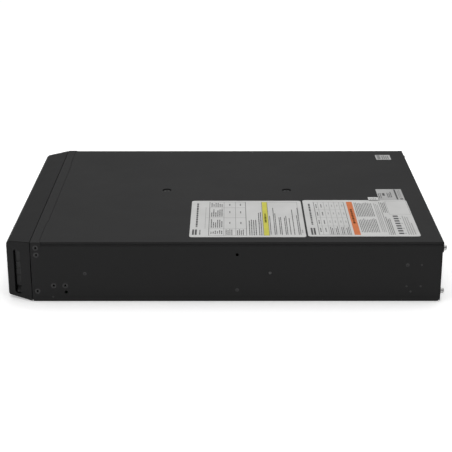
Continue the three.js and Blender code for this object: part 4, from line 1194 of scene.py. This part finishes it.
def power_key():
    low, high = size_mm("power_button")
    centre = ((low.x + high.x) / 2, 0, (low.z + high.z) / 2)
    ring = bmesh.new()
    profile = [(7.3, 0), (8.3, 0), (8.2, 0.35), (7.8, 0.5), (7.4, 0.35), (7.3, 0)]
    turned(ring, profile, (centre[0], FACE_Y, centre[2]), (0, -1, 0), 48)
    dress(as_object("power_key_ring", ring), NICKEL, "display", 0)
    lamp = bmesh.new()
    turned(lamp, [(0, -0.6), (1.3, -0.6), (1.3, 0), (0.9, 0.04), (0, 0.05)], (centre[0], low.y, centre[2]),
           (0, -1, 0), 24)
    dress(as_object("power_key_lamp", lamp), LAMP_GREEN, "power_button", 0)


def status_lamps():
    for k in range(4):
        lens = bmesh.new()
        profile = [(0, -1), (1.2, -1), (1.2, 0.1), (0.9, 0.35), (0.4, 0.45), (0, 0.48)]
        turned(lens, profile, (160.5 + 4 * k, FACE_Y, 36), (0, -1, 0), 20)
        finish = LAMP_AMBER if k == 3 else LAMP_GREEN
        dress(as_object(f"status_lamp_{k + 1}", lens), finish, "display", 0)


key_marks()
power_key()
status_lamps()
print("keys marked, lamps set")

# %% [markdown]
# Behind the bezel's louvres a woven steel screen keeps fingers and dust out. Weaving is easy to fake and easy
# to make: two rows of thin wires, one in front of the other, look the same from a hand's width away.

# %% Air screen
def air_screen(pitch=3.6, wire=0.7):
    screen = bmesh.new()
    x = (AIR_X[0] - 3, AIR_X[1] + 3)
    z = (AIR_Z - 3, AIR_Z + AIR_PITCH * (AIR_ROWS - 1) + AIR_SLOT + 3)
    back = -BEZEL_DEPTH + WALL + 0.3
    for k in range(int((x[1] - x[0]) / pitch) + 1):
        turned(screen, [(0, z[0]), (wire / 2, z[0]), (wire / 2, z[1]), (0, z[1])],
               (x[0] + k * pitch, back + wire / 2, 0), (0, 0, 1), 6)
    for k in range(int((z[1] - z[0]) / pitch) + 1):
        turned(screen, [(0, x[0]), (wire / 2, x[0]), (wire / 2, x[1]), (0, x[1])],
               (0, back + wire * 1.5, z[0] + k * pitch), (1, 0, 0), 6)
    for low, high in ((z[0] - 2, z[0] + 1), (z[1] - 1, z[1] + 2)):
        block(screen, (x[0] - 2, x[1] + 2), (back - 0.1, back + 2), (low, high))
    return dress(as_object("air_screen", screen), BLACK_STEEL, "bezel", 0)


print("air screen faces:", len(air_screen().data.polygons))


# %% [markdown]
# The rear panel is where the cables go, so it has the most small parts: screws round the fans, contacts in
# the sockets, a nut on the breaker. Contacts are leaves of brass a quarter of a millimetre thick, two in
# each slot. They are drawn in loops, because every outlet is the same.

# %% Fan and cover screws
SMALL_PAN = screw_head("small_pan_head", dome(2.2, 1.3), "cross", 1.2, 1.3, 0.8)
FAN_PITCH = 35.75
for side in ("left", "right"):
    low, high = size_mm(f"fan_frame_{side}")
    middle = (low + high) / 2
    for k, (a, b) in enumerate(((-1, -1), (1, -1), (1, 1), (-1, 1))):
        at = (middle.x + a * FAN_PITCH, PANEL_HIGH.y, middle.z + b * FAN_PITCH)
        screw(f"fan_screw_{side}_{k + 1}", SMALL_PAN, at, (0, 1, 0), BLACK_STEEL, "chassis",
              turn_deg=25 * k)
COVER_LOW, COVER_HIGH = size_mm("slot_cover")
for k, x in enumerate((COVER_LOW.x + 4.5, COVER_HIGH.x - 4.5)):
    at = (x, COVER_LOW.y + SHEET, (COVER_LOW.z + COVER_HIGH.z) / 2)
    screw(f"slot_cover_screw_{k + 1}", SMALL_PAN, at, (0, 1, 0), NICKEL, "chassis",
          turn_deg=40 * k)
GROUND = screw_head("ground_head", washer_head(4.0, 3.1), "cross", 2.0, 3.1, 1.4)
low, high = size_mm("ground_screw")
screw("ground_stud", GROUND, ((low.x + high.x) / 2, PANEL_HIGH.y + SEAT_GAP, (low.z + high.z) / 2),
      (0, 1, 0), NICKEL,
      "chassis", ["ground_screw"], 15)
print("rear screws placed")

# %% [markdown]
# Each outlet has three slots. The leaves stand a little way in, so that they show as a glint of brass and a
# finger can't reach them. The mains inlet is the other way round: three solid blades stand in an open cavity.

# %% Socket contacts
def leaves(drawing, x, z, face, depth=(3.5, 12)):
    """Two spring leaves in a slot 2.4 mm wide and 4.8 mm high."""
    for side in (-1, 1):
        block(drawing, sorted((x + side * 0.75, x + side * 1.05)), (face - depth[1], face - depth[0]),
              (z - 2.1, z + 2.1))


def outlet_slots(x, z, wide, high):
    return [(x - wide / 4, z - high / 10), (x + wide / 4, z - high / 10), (x, z + high / 6)]


OUTLET_PITCH = (29, 22)
OUTLET_SIZE = (25.6, 18.4)
LARGE_SIZE = (29.6, 22.6)


def contacts():
    for side in ("left", "right"):
        low, high = size_mm(f"outlet_block_{side}")
        drawing = bmesh.new()
        for i in (-0.5, 0.5):
            for j in (-0.5, 0.5):
                x = (low.x + high.x) / 2 + i * OUTLET_PITCH[0]
                z = (low.z + high.z) / 2 + j * OUTLET_PITCH[1]
                for slot in outlet_slots(x, z, *OUTLET_SIZE):
                    leaves(drawing, *slot, high.y)
        dress(as_object(f"outlet_contacts_{side}", drawing), BRASS, "chassis", 0)
    low, high = size_mm("outlet_large")
    drawing = bmesh.new()
    for slot in outlet_slots((low.x + high.x) / 2, (low.z + high.z) / 2, *LARGE_SIZE):
        leaves(drawing, *slot, high.y)
    dress(as_object("outlet_contacts_large", drawing), BRASS, "chassis", 0)


def inlet_blades():
    low, high = size_mm("ac_inlet")
    x, z, face = (low.x + high.x) / 2, (low.z + high.z) / 2, high.y
    drawing = bmesh.new()
    for dx, dz in ((-6.5, -4.5), (6.5, -4.5), (0, -0.5)):
        outline = round_rectangle((x + dx - 3.1, x + dx + 3.1), (z + dz - 1.1, z + dz + 1.1), 0.4)
        prism(drawing, outline, "y", face - 15.9, face - 2.9)
    dress(as_object("inlet_blades", drawing), NICKEL, "chassis", 0.2)


contacts()
inlet_blades()
print("socket contacts placed")

# %% [markdown]
# The data sockets get their contacts too: eight fine wires that slope down from the roof of the serial
# socket, a white tongue in the USB socket, pins in the emergency plug and two thick bars in the battery
# socket.

# %% Data and battery contacts
IVORY = skin("ivory_plastic", (0.5, 0.5, 0.47), (0.58, 0.58, 0.54), (0.35, 0.45), drift=200, grain=1800,
             depth=0.006)


def serial_wires():
    low, high = size_mm("serial_port")
    x, z = (low.x + high.x) / 2, (low.z + high.z) / 2
    drawing = bmesh.new()
    for k in range(8):
        wire_x = x - 3.6 + k * 1.02
        outline = [(high.y - 11, z + 3.9), (high.y - 3, z + 3.9), (high.y - 2.6, z + 3.6),
                   (high.y - 9, z + 0.8),
                   (high.y - 9.4, z + 1.1), (high.y - 4, z + 3.55), (high.y - 11, z + 3.55)]
        prism(drawing, outline, "x", wire_x - 0.2, wire_x + 0.2)
    dress(as_object("serial_contacts", drawing), BRASS, "chassis", 0)


def usb_tongue():
    low, high = size_mm("usb_port")
    x, z = (low.x + high.x) / 2, (low.z + high.z) / 2
    drawing = bmesh.new()
    block(drawing, (x - 2.95, x + 2.95), (high.y - 11.8, high.y - 2.0), (z - 1.75, z + 1.75))
    dress(as_object("usb_tongue", drawing), IVORY, "chassis", 0.3)
    pads = bmesh.new()
    for a in (-1.6, 1.6):
        for b in (-1.85, 1.75):
            block(pads, (x + a - 0.5, x + a + 0.5), (high.y - 10, high.y - 3), (z + b, z + b + 0.1))
    dress(as_object("usb_contacts", pads), BRASS, "chassis", 0)


def power_off_pins():
    low, high = size_mm("epo_socket")
    x, z = (low.x + high.x) / 2, (low.z + high.z) / 2
    drawing = bmesh.new()
    for k in range(4):
        pin_x = x - 6 + 4 * k
        profile = [(0, 0), (0.55, 0), (0.55, 5.5), (0.3, 6.2), (0, 6.3)]
        turned(drawing, profile, (pin_x, high.y - 8, z), (0, 1, 0), 10)
    dress(as_object("power_off_pins", drawing), BRASS, "chassis", 0)


def battery_bars():
    low, high = size_mm("external_battery_socket")
    x, z = (low.x + high.x) / 2, (low.z + high.z) / 2
    drawing = bmesh.new()
    for side in (-1, 1):
        outline = round_rectangle((x + side * 7.5 - 4.5, x + side * 7.5 + 4.5), (z - 1.5, z + 1.5), 0.6)
        prism(drawing, outline, "y", high.y - 19.9, high.y - 6)
    dress(as_object("external_battery_contacts", drawing), NICKEL, "chassis", 0.3)


def breaker_nut():
    low, high = size_mm("breaker_button")
    drawing = bmesh.new()
    profile = [(6.0, 0), (7.4, 0), (7.4, 1.0), (6.8, 1.4), (6.0, 1.4), (6.0, 0)]
    turned(drawing, profile, ((low.x + high.x) / 2, PANEL_HIGH.y + 0.02, (low.z + high.z) / 2), (0, 1, 0), 6)
    dress(as_object("breaker_nut", drawing), NICKEL, "chassis", 0.15)


serial_wires()
usb_tongue()
power_off_pins()
battery_bars()
breaker_nut()
print("small contacts placed")

# %% [markdown]
# Pale frames printed on the panel show which outlets are switched together. They are ink, so they are only a
# few hundredths of a millimetre thick.

# %% Rear printing
def frame_lines(drawing, x, z, width=0.5):
    for a, b in (((x[0], x[1]), (z[0], z[0] + width)), ((x[0], x[1]), (z[1] - width, z[1])),
                 ((x[0], x[0] + width), z), ((x[1] - width, x[1]), z)):
        block(drawing, a, (PANEL_HIGH.y, PANEL_HIGH.y + 0.04), b)


def rear_print():
    ink = bmesh.new()
    for node in ("outlet_block_left", "outlet_block_right"):
        low, high = size_mm(node)
        frame_lines(ink, (low.x - 0.9, high.x + 0.9), (low.z - 2, high.z + 2))
    dice = random.Random(61)
    for node in ("outlet_block_left", "outlet_block_right", "serial_port", "usb_port",
                 "external_battery_socket"):
        low, high = size_mm(node)
        at = low.x + 1
        while at < high.x - 2:
            wide = dice.uniform(1.5, 4)
            block(ink, (at, min(at + wide, high.x)), (PANEL_HIGH.y, PANEL_HIGH.y + 0.04),
                  (low.z - 2.4, low.z - 1.2))
            at += wide + 1
    dress(as_object("rear_print", ink), WHITE_PRINT, "chassis", 0)


rear_print()


# %% [markdown]
# Behind the bezel is the battery drawer. Each sealed battery is a box with a lid welded on, six vent caps
# on a raised strip, and two flat tabs for the leads. The box is the model's own node. The lid seam, the
# strip and the tabs are added, because they are what tells a battery from a plain block.

# %% Batteries
VENT_CAPS = 6


def battery_top(index):
    low, high = size_mm(f"battery_block_{index}")
    x, y, top = (low.x, high.x), (low.y, high.y), high.z
    strip = bmesh.new()
    outline = round_rectangle((x[0] + 14, x[1] - 14), (y[0] + 34, y[1] - 34), 4)
    prism(strip, outline, "z", top, top + 1.0)
    for k in range(VENT_CAPS):
        cap_x = x[0] + 21 + (x[1] - x[0] - 42) * k / (VENT_CAPS - 1)
        turned(strip, [(0, 0), (4.2, 0), (4.0, 0.8), (0, 0.8)], (cap_x, (y[0] + y[1]) / 2, top + 0.99),
               (0, 0, 1), 20)
    rim = bmesh.new()
    outer = round_rectangle((x[0] - 0.35, x[1] + 0.35), (y[0] - 0.35, y[1] + 0.35), 2)
    prism(rim, outer, "z", top - 7.5, top - 6.3)
    dress(as_object(f"battery_seam_{index}", rim), CASE, "battery", 0.2)
    dress(as_object(f"battery_vents_{index}", strip), NYLON, "battery", 0.3)
    tabs = bmesh.new()
    for tab_x in (x[0] + 9, x[1] - 9):
        block(tabs, (tab_x - 3.2, tab_x + 3.2), (y[0] + 9, y[0] + 9.8), (top, top + 3.2))
        block(tabs, (tab_x - 3.2, tab_x + 3.2), (y[0] + 9, y[0] + 16), (top, top + 0.8))
    dress(as_object(f"battery_tabs_{index}", tabs), NICKEL, "battery", 0.1)
    sheet = bmesh.new()
    prism(sheet, round_rectangle((x[0] + 20, x[1] - 20), (y[1] - 30, y[1] - 8), 1.5), "z", top, top + 0.12)
    dress(as_object(f"battery_label_{index}", sheet), LABEL_GREY, "battery", 0)
    dashes = bmesh.new()
    dice = random.Random(100 + index)
    for line in range(4):
        at = x[0] + 23
        while at < x[1] - 30:
            wide = dice.uniform(2, 8)
            block(dashes, (at, at + wide), (y[1] - 12 - 4.4 * line, y[1] - 10.4 - 4.4 * line),
                  (top + 0.12, top + 0.16))
            at += wide + 1.4
    dress(as_object(f"battery_print_{index}", dashes), INK, "battery", 0)


for index in range(1, 7):
    battery_top(index)
print("six batteries dressed")

# %% [markdown]
# The batteries are wired in one string. A lead is a curve with a round bevel: give it the points it has to
# pass, make the handles automatic, and Blender bends it smoothly. Each lead runs flat across the tops from
# tab to tab, and the last two run to the rear of the drawer, above its plug. They are fixed wiring held all
# the way, so they are plain pieces of the drawer.

# %% Battery leads
def lead(name, points, finish, body, radius=1.1, smooth_steps=5):
    curve = bpy.data.curves.new(name, "CURVE")
    curve.dimensions = "3D"
    curve.resolution_u = smooth_steps
    curve.bevel_depth = radius * MM
    curve.bevel_resolution = 3
    curve.use_fill_caps = True
    line = curve.splines.new("BEZIER")
    line.bezier_points.add(len(points) - 1)
    for knot, point in zip(line.bezier_points, points):
        knot.co = TO_FRAME @ Vector(point)
        knot.handle_left_type = knot.handle_right_type = "AUTO"
    shape = bpy.data.objects.new(name + "_curve", curve)
    bpy.context.scene.collection.objects.link(shape)
    bpy.context.view_layer.update()
    data = bpy.data.meshes.new_from_object(shape.evaluated_get(bpy.context.evaluated_depsgraph_get()))
    bpy.data.objects.remove(shape)
    data.name = name
    wire = bpy.data.objects.new(name, data)
    bpy.context.scene.collection.objects.link(wire)
    for face in data.polygons:
        face.use_smooth = True
    return dress(wire, finish, body, 0)


def tab_at(index, side):
    low, high = size_mm(f"battery_block_{index}")
    return (low.x + 9 if side < 0 else high.x - 9), low.y + 12, high.z + 1.6


def leads():
    for number, (a, b) in enumerate(((1, 2), (3, 4), (5, 6))):
        ax, ay, az = tab_at(a, 1)
        bx, by, bz = tab_at(b, -1)
        lead(f"lead_across_{number + 1}", [(ax, ay, az), ((ax + bx) / 2, ay + 4, az + 0.3), (bx, by, bz)],
             RUBBER_BLACK, "battery")
    for number, (a, b, side) in enumerate(((2, 4, 1), (3, 5, -1))):
        ax, ay, az = tab_at(a, side)
        bx, by, bz = tab_at(b, side)
        lead(f"lead_along_{number + 1}", [(ax, ay, az), (ax + 3, (ay + by) / 2, az), (bx, by, bz)],
             RUBBER_BLACK, "battery")
    ax, ay, az = tab_at(1, -1)
    lead("lead_positive", [(ax, ay, az), (ax + 5, ay + 30, az), (ax + 5, 290, az), (ax + 16, 299, az)],
         RUBBER_RED,
         "battery", 1.3)
    ax, ay, az = tab_at(6, 1)
    lead("lead_negative", [(ax, ay, az), (ax + 3, ay + 35, az), (ax - 4, 296, az), (ax - 12, 299, az)],
         RUBBER_BLACK,
         "battery", 1.3)


leads()
print("leads run")

# %% [markdown]
# The door is a zinc plate. Two stamped ribs stiffen it, a row of rivets crosses its top, and each thumb screw
# has a knurled rim. Knurling is a ring of small ridges: an outline whose radius goes in and out.

# %% Battery door and thumb screws
def door_ribs():
    low, high = size_mm("battery_door")
    face = low.y + 4.0
    ribs = bmesh.new()
    for z in (16, 66):
        outline = round_rectangle((low.x + 20, high.x - 20), (z, z + 5), 2.4)
        prism(ribs, outline, "y", face - 1.0, face + 0.2)
    for k in range(6):
        x = low.x + 12 + (high.x - low.x - 24) * k / 5
        turned(ribs, [(0, -0.3), (2.2, -0.3), (1.8, 0.5), (0.8, 0.8), (0, 0.85)], (x, face, high.z - 5),
               (0, -1, 0), 16)
    dress(as_object("battery_door_ribs", ribs), DARK_ZINC, "battery_door", 0.3)
    sheet = bmesh.new()
    prism(sheet, round_rectangle((low.x + 24, low.x + 94), (27, 58), 2), "y", face - 0.12, face + 0.05)
    dress(as_object("battery_door_label", sheet), LABEL, "battery_door", 0)
    dashes = bmesh.new()
    dice = random.Random(71)
    for line in range(6):
        at = low.x + 28
        while at < low.x + 86:
            wide = dice.uniform(2, 9)
            block(dashes, (at, min(at + wide, low.x + 90)), (face - 0.16, face - 0.12),
                  (52 - 4.4 * line, 53.6 - 4.4 * line))
            at += wide + 1.5
    dress(as_object("battery_door_print", dashes), INK, "battery_door", 0)


KNURLS = 30
RIDGE = 0.35  # how far a ridge stands out from the screw's own rim


def knurls(side):
    low, high = size_mm(f"door_screw_{side}")
    x, z = (low.x + high.x) / 2, (low.z + high.z) / 2
    radius = (high.x - low.x) / 2
    outline = []
    for k in range(KNURLS * 2):
        r = radius + (RIDGE if k % 2 else 0.02)
        t = math.tau * k / (KNURLS * 2)
        outline.append((x + r * math.cos(t), z + r * math.sin(t)))
    drawing = bmesh.new()
    prism(drawing, outline, "y", low.y + 1.2, low.y + 5.6)
    knob = as_object(f"thumb_screw_knurl_{side}", drawing)
    slot_cut = bmesh.new()
    turned(slot_cut, [(0, -1), (radius - 1.2, -1), (radius - 1.2, 8), (0, 8)], (x, low.y, z), (0, 1, 0), 32)
    combine(knob, slot_cut)
    dress(knob, NICKEL, f"door_screw_{side}", 0)


door_ribs()
knurls("left")
knurls("right")
print("door dressed")

# %% [markdown]
# A fan blade is a curved sheet: its pitch is steep at the hub and shallow at the tip. A grid of points over
# the radius and the chord follows a short formula, and a solidify modifier gives the sheet its thickness.
# The seven blades are one mesh with the hub, and their tips stay inside the frame's bore.

# %% Fan rotors
BLADES = 7


def blade(mesh, turn_by, radii=(17.0, 36.2), length=(1.6, 19.0)):
    """One blade about the Y axis: columns run out along the radius, rows run along the axis."""
    rows, columns = 8, 6
    grid = []
    for i in range(columns + 1):
        f = i / columns
        radius = radii[0] + (radii[1] - radii[0]) * f
        sweep = 0.95 - 0.35 * f
        line = []
        for j in range(rows + 1):
            g = j / rows
            angle = turn_by + sweep * (g - 0.5) + 0.12 * math.sin(math.pi * g) + 0.25 * f
            inset = 1.6 * f
            y = length[0] + inset + (length[1] - length[0] - 2 * inset) * g
            line.append(mesh.verts.new((radius * math.cos(angle), y, radius * math.sin(angle))))
        grid.append(line)
    for a, b in zip(grid, grid[1:]):
        for j in range(rows):
            mesh.faces.new((a[j], a[j + 1], b[j + 1], b[j]))


def rotor(side):
    node = f"fan_rotor_{side}"
    frame_low, frame_high = size_mm(f"fan_frame_{side}")
    x, z = (frame_low.x + frame_high.x) / 2, (frame_low.z + frame_high.z) / 2
    start = frame_low.y
    vanes = bmesh.new()
    for k in range(BLADES):
        blade(vanes, math.tau * k / BLADES)
    bmesh.ops.transform(vanes, matrix=Matrix.Translation((x, start, z)), verts=vanes.verts)
    bmesh.ops.recalc_face_normals(vanes, faces=vanes.faces)
    wheel = as_object(f"fan_wheel_{side}", vanes)
    solid = wheel.modifiers.new("thickness", "SOLIDIFY")
    solid.thickness = 1.1 * MM
    solid.offset = 0
    bpy.context.view_layer.update()
    data = bpy.data.meshes.new_from_object(wheel.evaluated_get(bpy.context.evaluated_depsgraph_get()))
    wheel.modifiers.clear()
    wheel.data = data
    hub = bmesh.new()
    profile = [(0, 1), (15.5, 1), (17.0, 1.6), (17.5, 3), (17.5, 19.4), (16, 19.4), (3, 19.0), (1.5, 19.0),
               (1.5, 22.2),
               (0, 22.2)]
    turned(hub, profile, (x, start, z), (0, 1, 0), 40)
    combine(wheel, hub, "UNION")
    dress(wheel, NYLON, node, 0.2, replaces=[node])
    sticker = bmesh.new()
    turned(sticker, [(0, 0), (12, 0), (12, 0.1), (0, 0.1)], (x, start + 0.9, z), (0, 1, 0), 32)
    dress(as_object(f"fan_sticker_{side}", sticker), LABEL_GREY, node, 0)
    return wheel


for side in ("left", "right"):
    print(f"fan wheel {side}:", len(rotor(side).data.polygons), "faces")


# %% [markdown]
# Two ring chokes are wound with thick enamelled wire. The model's ring is the core in its tape. The winding
# is one line that climbs round the ring's section while it goes round the ring, pushed out to the wire's
# thickness: a long coil from two angles and no modelling by hand.

# %% Wound chokes
def winding(node, turns=34, steps=16):
    low, high = size_mm(node)
    centre = ((low.x + high.x) / 2, (low.y + high.y) / 2, (low.z + high.z) / 2)
    inner, outer, tall = 11.0, (high.x - low.x) / 2, (high.z - low.z) / 2
    middle, half = (inner + outer) / 2, (outer - inner) / 2
    points = []
    for k in range(turns * steps + 1):
        round_section = math.tau * k / steps
        round_ring = 0.25 + (math.tau - 0.5) * k / (turns * steps)
        c, s = math.cos(round_section), math.sin(round_section)
        out = middle + math.copysign(abs(c) ** 0.5, c) * (half - 0.45)
        up = math.copysign(abs(s) ** 0.5, s) * (tall - 0.45)
        points.append((centre[0] + out * math.cos(round_ring), centre[1] + out * math.sin(round_ring),
                       centre[2] + up))
    return lead(f"{node}_wire", points, COPPER, "chassis", 0.8, smooth_steps=1)


for node in ("input_choke", "output_choke"):
    print(node, "wire:", len(winding(node).data.polygons), "faces")

# %% [markdown]
# The tall cans are electrolytic capacitors. The sleeve shrinks over the rim, the bare aluminium top shows
# inside it with its pressure vent, and a row of pale dashes marks one side. The transformer's core is a
# stack of thin sheets, so it gets a stack of thin plates a hair proud of the block.

# %% Capacitors and transformer
def capacitor(index):
    low, high = size_mm(f"bus_capacitor_{index}")
    x, y, radius = (low.x + high.x) / 2, (low.y + high.y) / 2, (high.x - low.x) / 2
    lip = bmesh.new()
    turned(lip, [(0, 0), (radius - 1.5, 0), (radius - 1.8, 0.5), (radius - 3.2, 0.2), (0, 0.2)],
           (x, y, high.z), (0, 0, 1), 36)
    block(lip, (x - 8, x + 8), (y - 0.4, y + 0.4), (high.z + 0.1, high.z + 0.45))
    block(lip, (x - 0.4, x + 0.4), (y - 8, y + 8), (high.z + 0.1, high.z + 0.45))
    dress(as_object(f"capacitor_vent_{index}", lip), ALUMINIUM, "chassis", 0.1)
    stripe = bmesh.new()
    for k in range(6):
        z = low.z + 6 + 7 * k
        block(stripe, (x - radius - 0.12, x - radius + 0.5), (y - 2.5, y + 2.5), (z, z + 4.4))
    dress(as_object(f"capacitor_stripe_{index}", stripe), WHITE_PRINT, "chassis", 0.05)


PLATES = 22


def laminations():
    low, high = size_mm("charger_transformer")
    plates = bmesh.new()
    for k in range(PLATES):
        x = low.x + 1 + (high.x - low.x - 3) * k / (PLATES - 1)
        block(plates, (x, x + 1.2), (low.y + 7.6, low.y + 12), (low.z + 3, high.z + 0.25))
        block(plates, (x, x + 1.2), (high.y - 12, high.y - 7.6), (low.z + 3, high.z + 0.25))
        block(plates, (x, x + 1.2), (low.y + 7.6, high.y - 7.6), (high.z - 2, high.z + 0.25))
    return dress(as_object("transformer_plates", plates), DULL_STEEL, "chassis", 0.1)


for index in (1, 2, 3):
    capacitor(index)
laminations()
print("capacitors and transformer dressed")

# %% [markdown]
# A circuit board reads as real when it carries many small parts in rows. Four families are enough: film
# capacitors, small cans, chips with legs, and chip resistors with tinned ends. A seeded draw puts them on a
# grid of free places, so each board is dense without looking like a pattern, and is the same every time.

# %% Small parts on the boards
class Parts:
    """Meshes for the small parts of one board: an own plane, facing along one axis of the frame."""

    def __init__(self, name, origin, across, along, seed):
        self.name = name
        place = Matrix((across, along, Vector(across).cross(Vector(along)))).transposed().to_4x4()
        self.place = Matrix.Translation(origin) @ place
        self.dice = random.Random(seed)
        self.meshes = {}

    def put(self, finish, draw, *shape):
        """Draws a shape flat, then stands it on the board."""
        mesh = self.meshes.setdefault(finish, bmesh.new())
        before = set(mesh.verts)
        draw(mesh, *shape)
        fresh = [corner for corner in mesh.verts if corner not in before]
        bmesh.ops.transform(mesh, matrix=self.place, verts=fresh)

    def box_of(self, finish, x, y, z):
        self.put(finish, block, x, y, z)

    def can(self, finish, x, y, radius, tall):
        profile = [(0, 0.1), (radius, 0.1), (radius, tall - 0.5), (radius - 0.5, tall), (0, tall)]
        self.put(finish, turned, profile, (x, y, 0), (0, 0, 1), 18)

    def chip(self, x, y, wide, deep):
        self.box_of(NYLON, (x - wide / 2, x + wide / 2), (y - deep / 2, y + deep / 2), (0.3, 1.7))
        legs = int(wide / 1.27) - 1
        for k in range(legs):
            leg_x = x - wide / 2 + 1.27 * (k + 1)
            self.box_of(NICKEL, (leg_x - 0.22, leg_x + 0.22), (y - deep / 2 - 1.1, y + deep / 2 + 1.1),
                        (0.03, 0.5))

    def resistor(self, x, y):
        self.box_of(NYLON, (x - 0.8, x + 0.8), (y - 0.6, y + 0.6), (0.02, 0.6))
        for end in (-1, 1):
            self.box_of(NICKEL, (x + end * 1.0 - 0.25, x + end * 1.0 + 0.25), (y - 0.6, y + 0.6),
                        (0.02, 0.62))

    def fill(self, x, y, step, tallest):
        """Draws one part for each free cell of a grid."""
        for i in range(int((x[1] - x[0]) / step)):
            for j in range(int((y[1] - y[0]) / step)):
                at_x = x[0] + step * (i + 0.5) + self.dice.uniform(-0.5, 0.5)
                at_y = y[0] + step * (j + 0.5) + self.dice.uniform(-0.5, 0.5)
                draw = self.dice.random()
                if draw < 0.18 and tallest > 5:
                    self.can(SLEEVE, at_x, at_y, step * self.dice.uniform(0.2, 0.36),
                             tallest * self.dice.uniform(0.4, 0.9))
                elif draw < 0.3 and tallest > 5:
                    tall = tallest * self.dice.uniform(0.3, 0.6)
                    self.box_of(ORANGE, (at_x - step * 0.34, at_x + step * 0.34), (at_y - 2.4, at_y + 2.4),
                                (0.05, tall))
                elif draw < 0.5:
                    self.chip(at_x, at_y, step * 0.62, step * 0.36)
                elif draw < 0.9:
                    self.resistor(at_x - step * 0.2, at_y)
                    self.resistor(at_x + step * 0.2, at_y)

    def finish(self, body):
        for number, (finish, mesh) in enumerate(self.meshes.items()):
            dress(as_object(f"{self.name}_parts_{number + 1}", mesh), finish, body, 0)
        return len(self.meshes)


BOARD_TOP = size_mm("power_board")[1].z
power_parts = Parts("power_board", (0, 0, BOARD_TOP), (1, 0, 0), (0, 1, 0), 301)
power_parts.fill((44, 128), (245, 335), 12, 26)
power_parts.fill((60, 200), (300, 338), 12, 22)
power_parts.fill((146, 200), (350, 500), 12, 24)
power_parts.fill((-200, -130), (345, 500), 12, 20)
power_parts.fill((-5, 32), (350, 500), 12, 18)
print("power board finishes:", power_parts.finish("chassis"))

CONTROL_LOW, CONTROL_HIGH = size_mm("control_board")
control_parts = Parts("control_board", (CONTROL_HIGH.x, 0, 0), (0, 1, 0), (0, 0, 1), 302)
control_parts.fill((CONTROL_LOW.y + 4, CONTROL_HIGH.y - 4), (14, 68), 9, 7)
print("control board finishes:", control_parts.finish("chassis"))

# %% [markdown]
# Power transistors are clamped along the foot of each heat sink, because that is where the heat goes in. They
# are flat black packages with a metal tab, a screw, and three legs down to the board.

# %% Power transistors
TRANSISTOR_PITCH = 24
END_MARGIN = 14


def transistors(node, side):
    low, high = size_mm(node)
    face = high.x if side > 0 else low.x
    bodies, metal = bmesh.new(), bmesh.new()
    count = int((high.y - low.y) / TRANSISTOR_PITCH)
    for k in range(count):
        y = low.y + END_MARGIN + (high.y - low.y - 2 * END_MARGIN) * k / (count - 1)
        block(metal, sorted((face + side * 0.1, face + side * 1.2)), (y - 7, y + 7), (low.z + 8, low.z + 28))
        block(bodies, sorted((face + side * 0.6, face + side * 4.6)), (y - 7.5, y + 7.5),
              (low.z + 6, low.z + 21))
        turned(metal, [(0, 0.5), (3, 0.5), (3, 2.2), (2.2, 3.2), (0, 3.4)], (face, y, low.z + 25),
               (side, 0, 0), 18)
        for leg in (-4, 0, 4):
            block(metal, sorted((face + side * 2, face + side * 2.8)), (y + leg - 0.6, y + leg + 0.6),
                  (low.z + 0.1, low.z + 6.2))
    dress(as_object(f"{node}_transistors", bodies), NYLON, "chassis", 0.2)
    dress(as_object(f"{node}_clamps", metal), NICKEL, "chassis", 0.1)
    return count


for node in ("heat_sink_rectifier", "heat_sink_inverter"):
    print(node, "transistors:", transistors(node, 1))
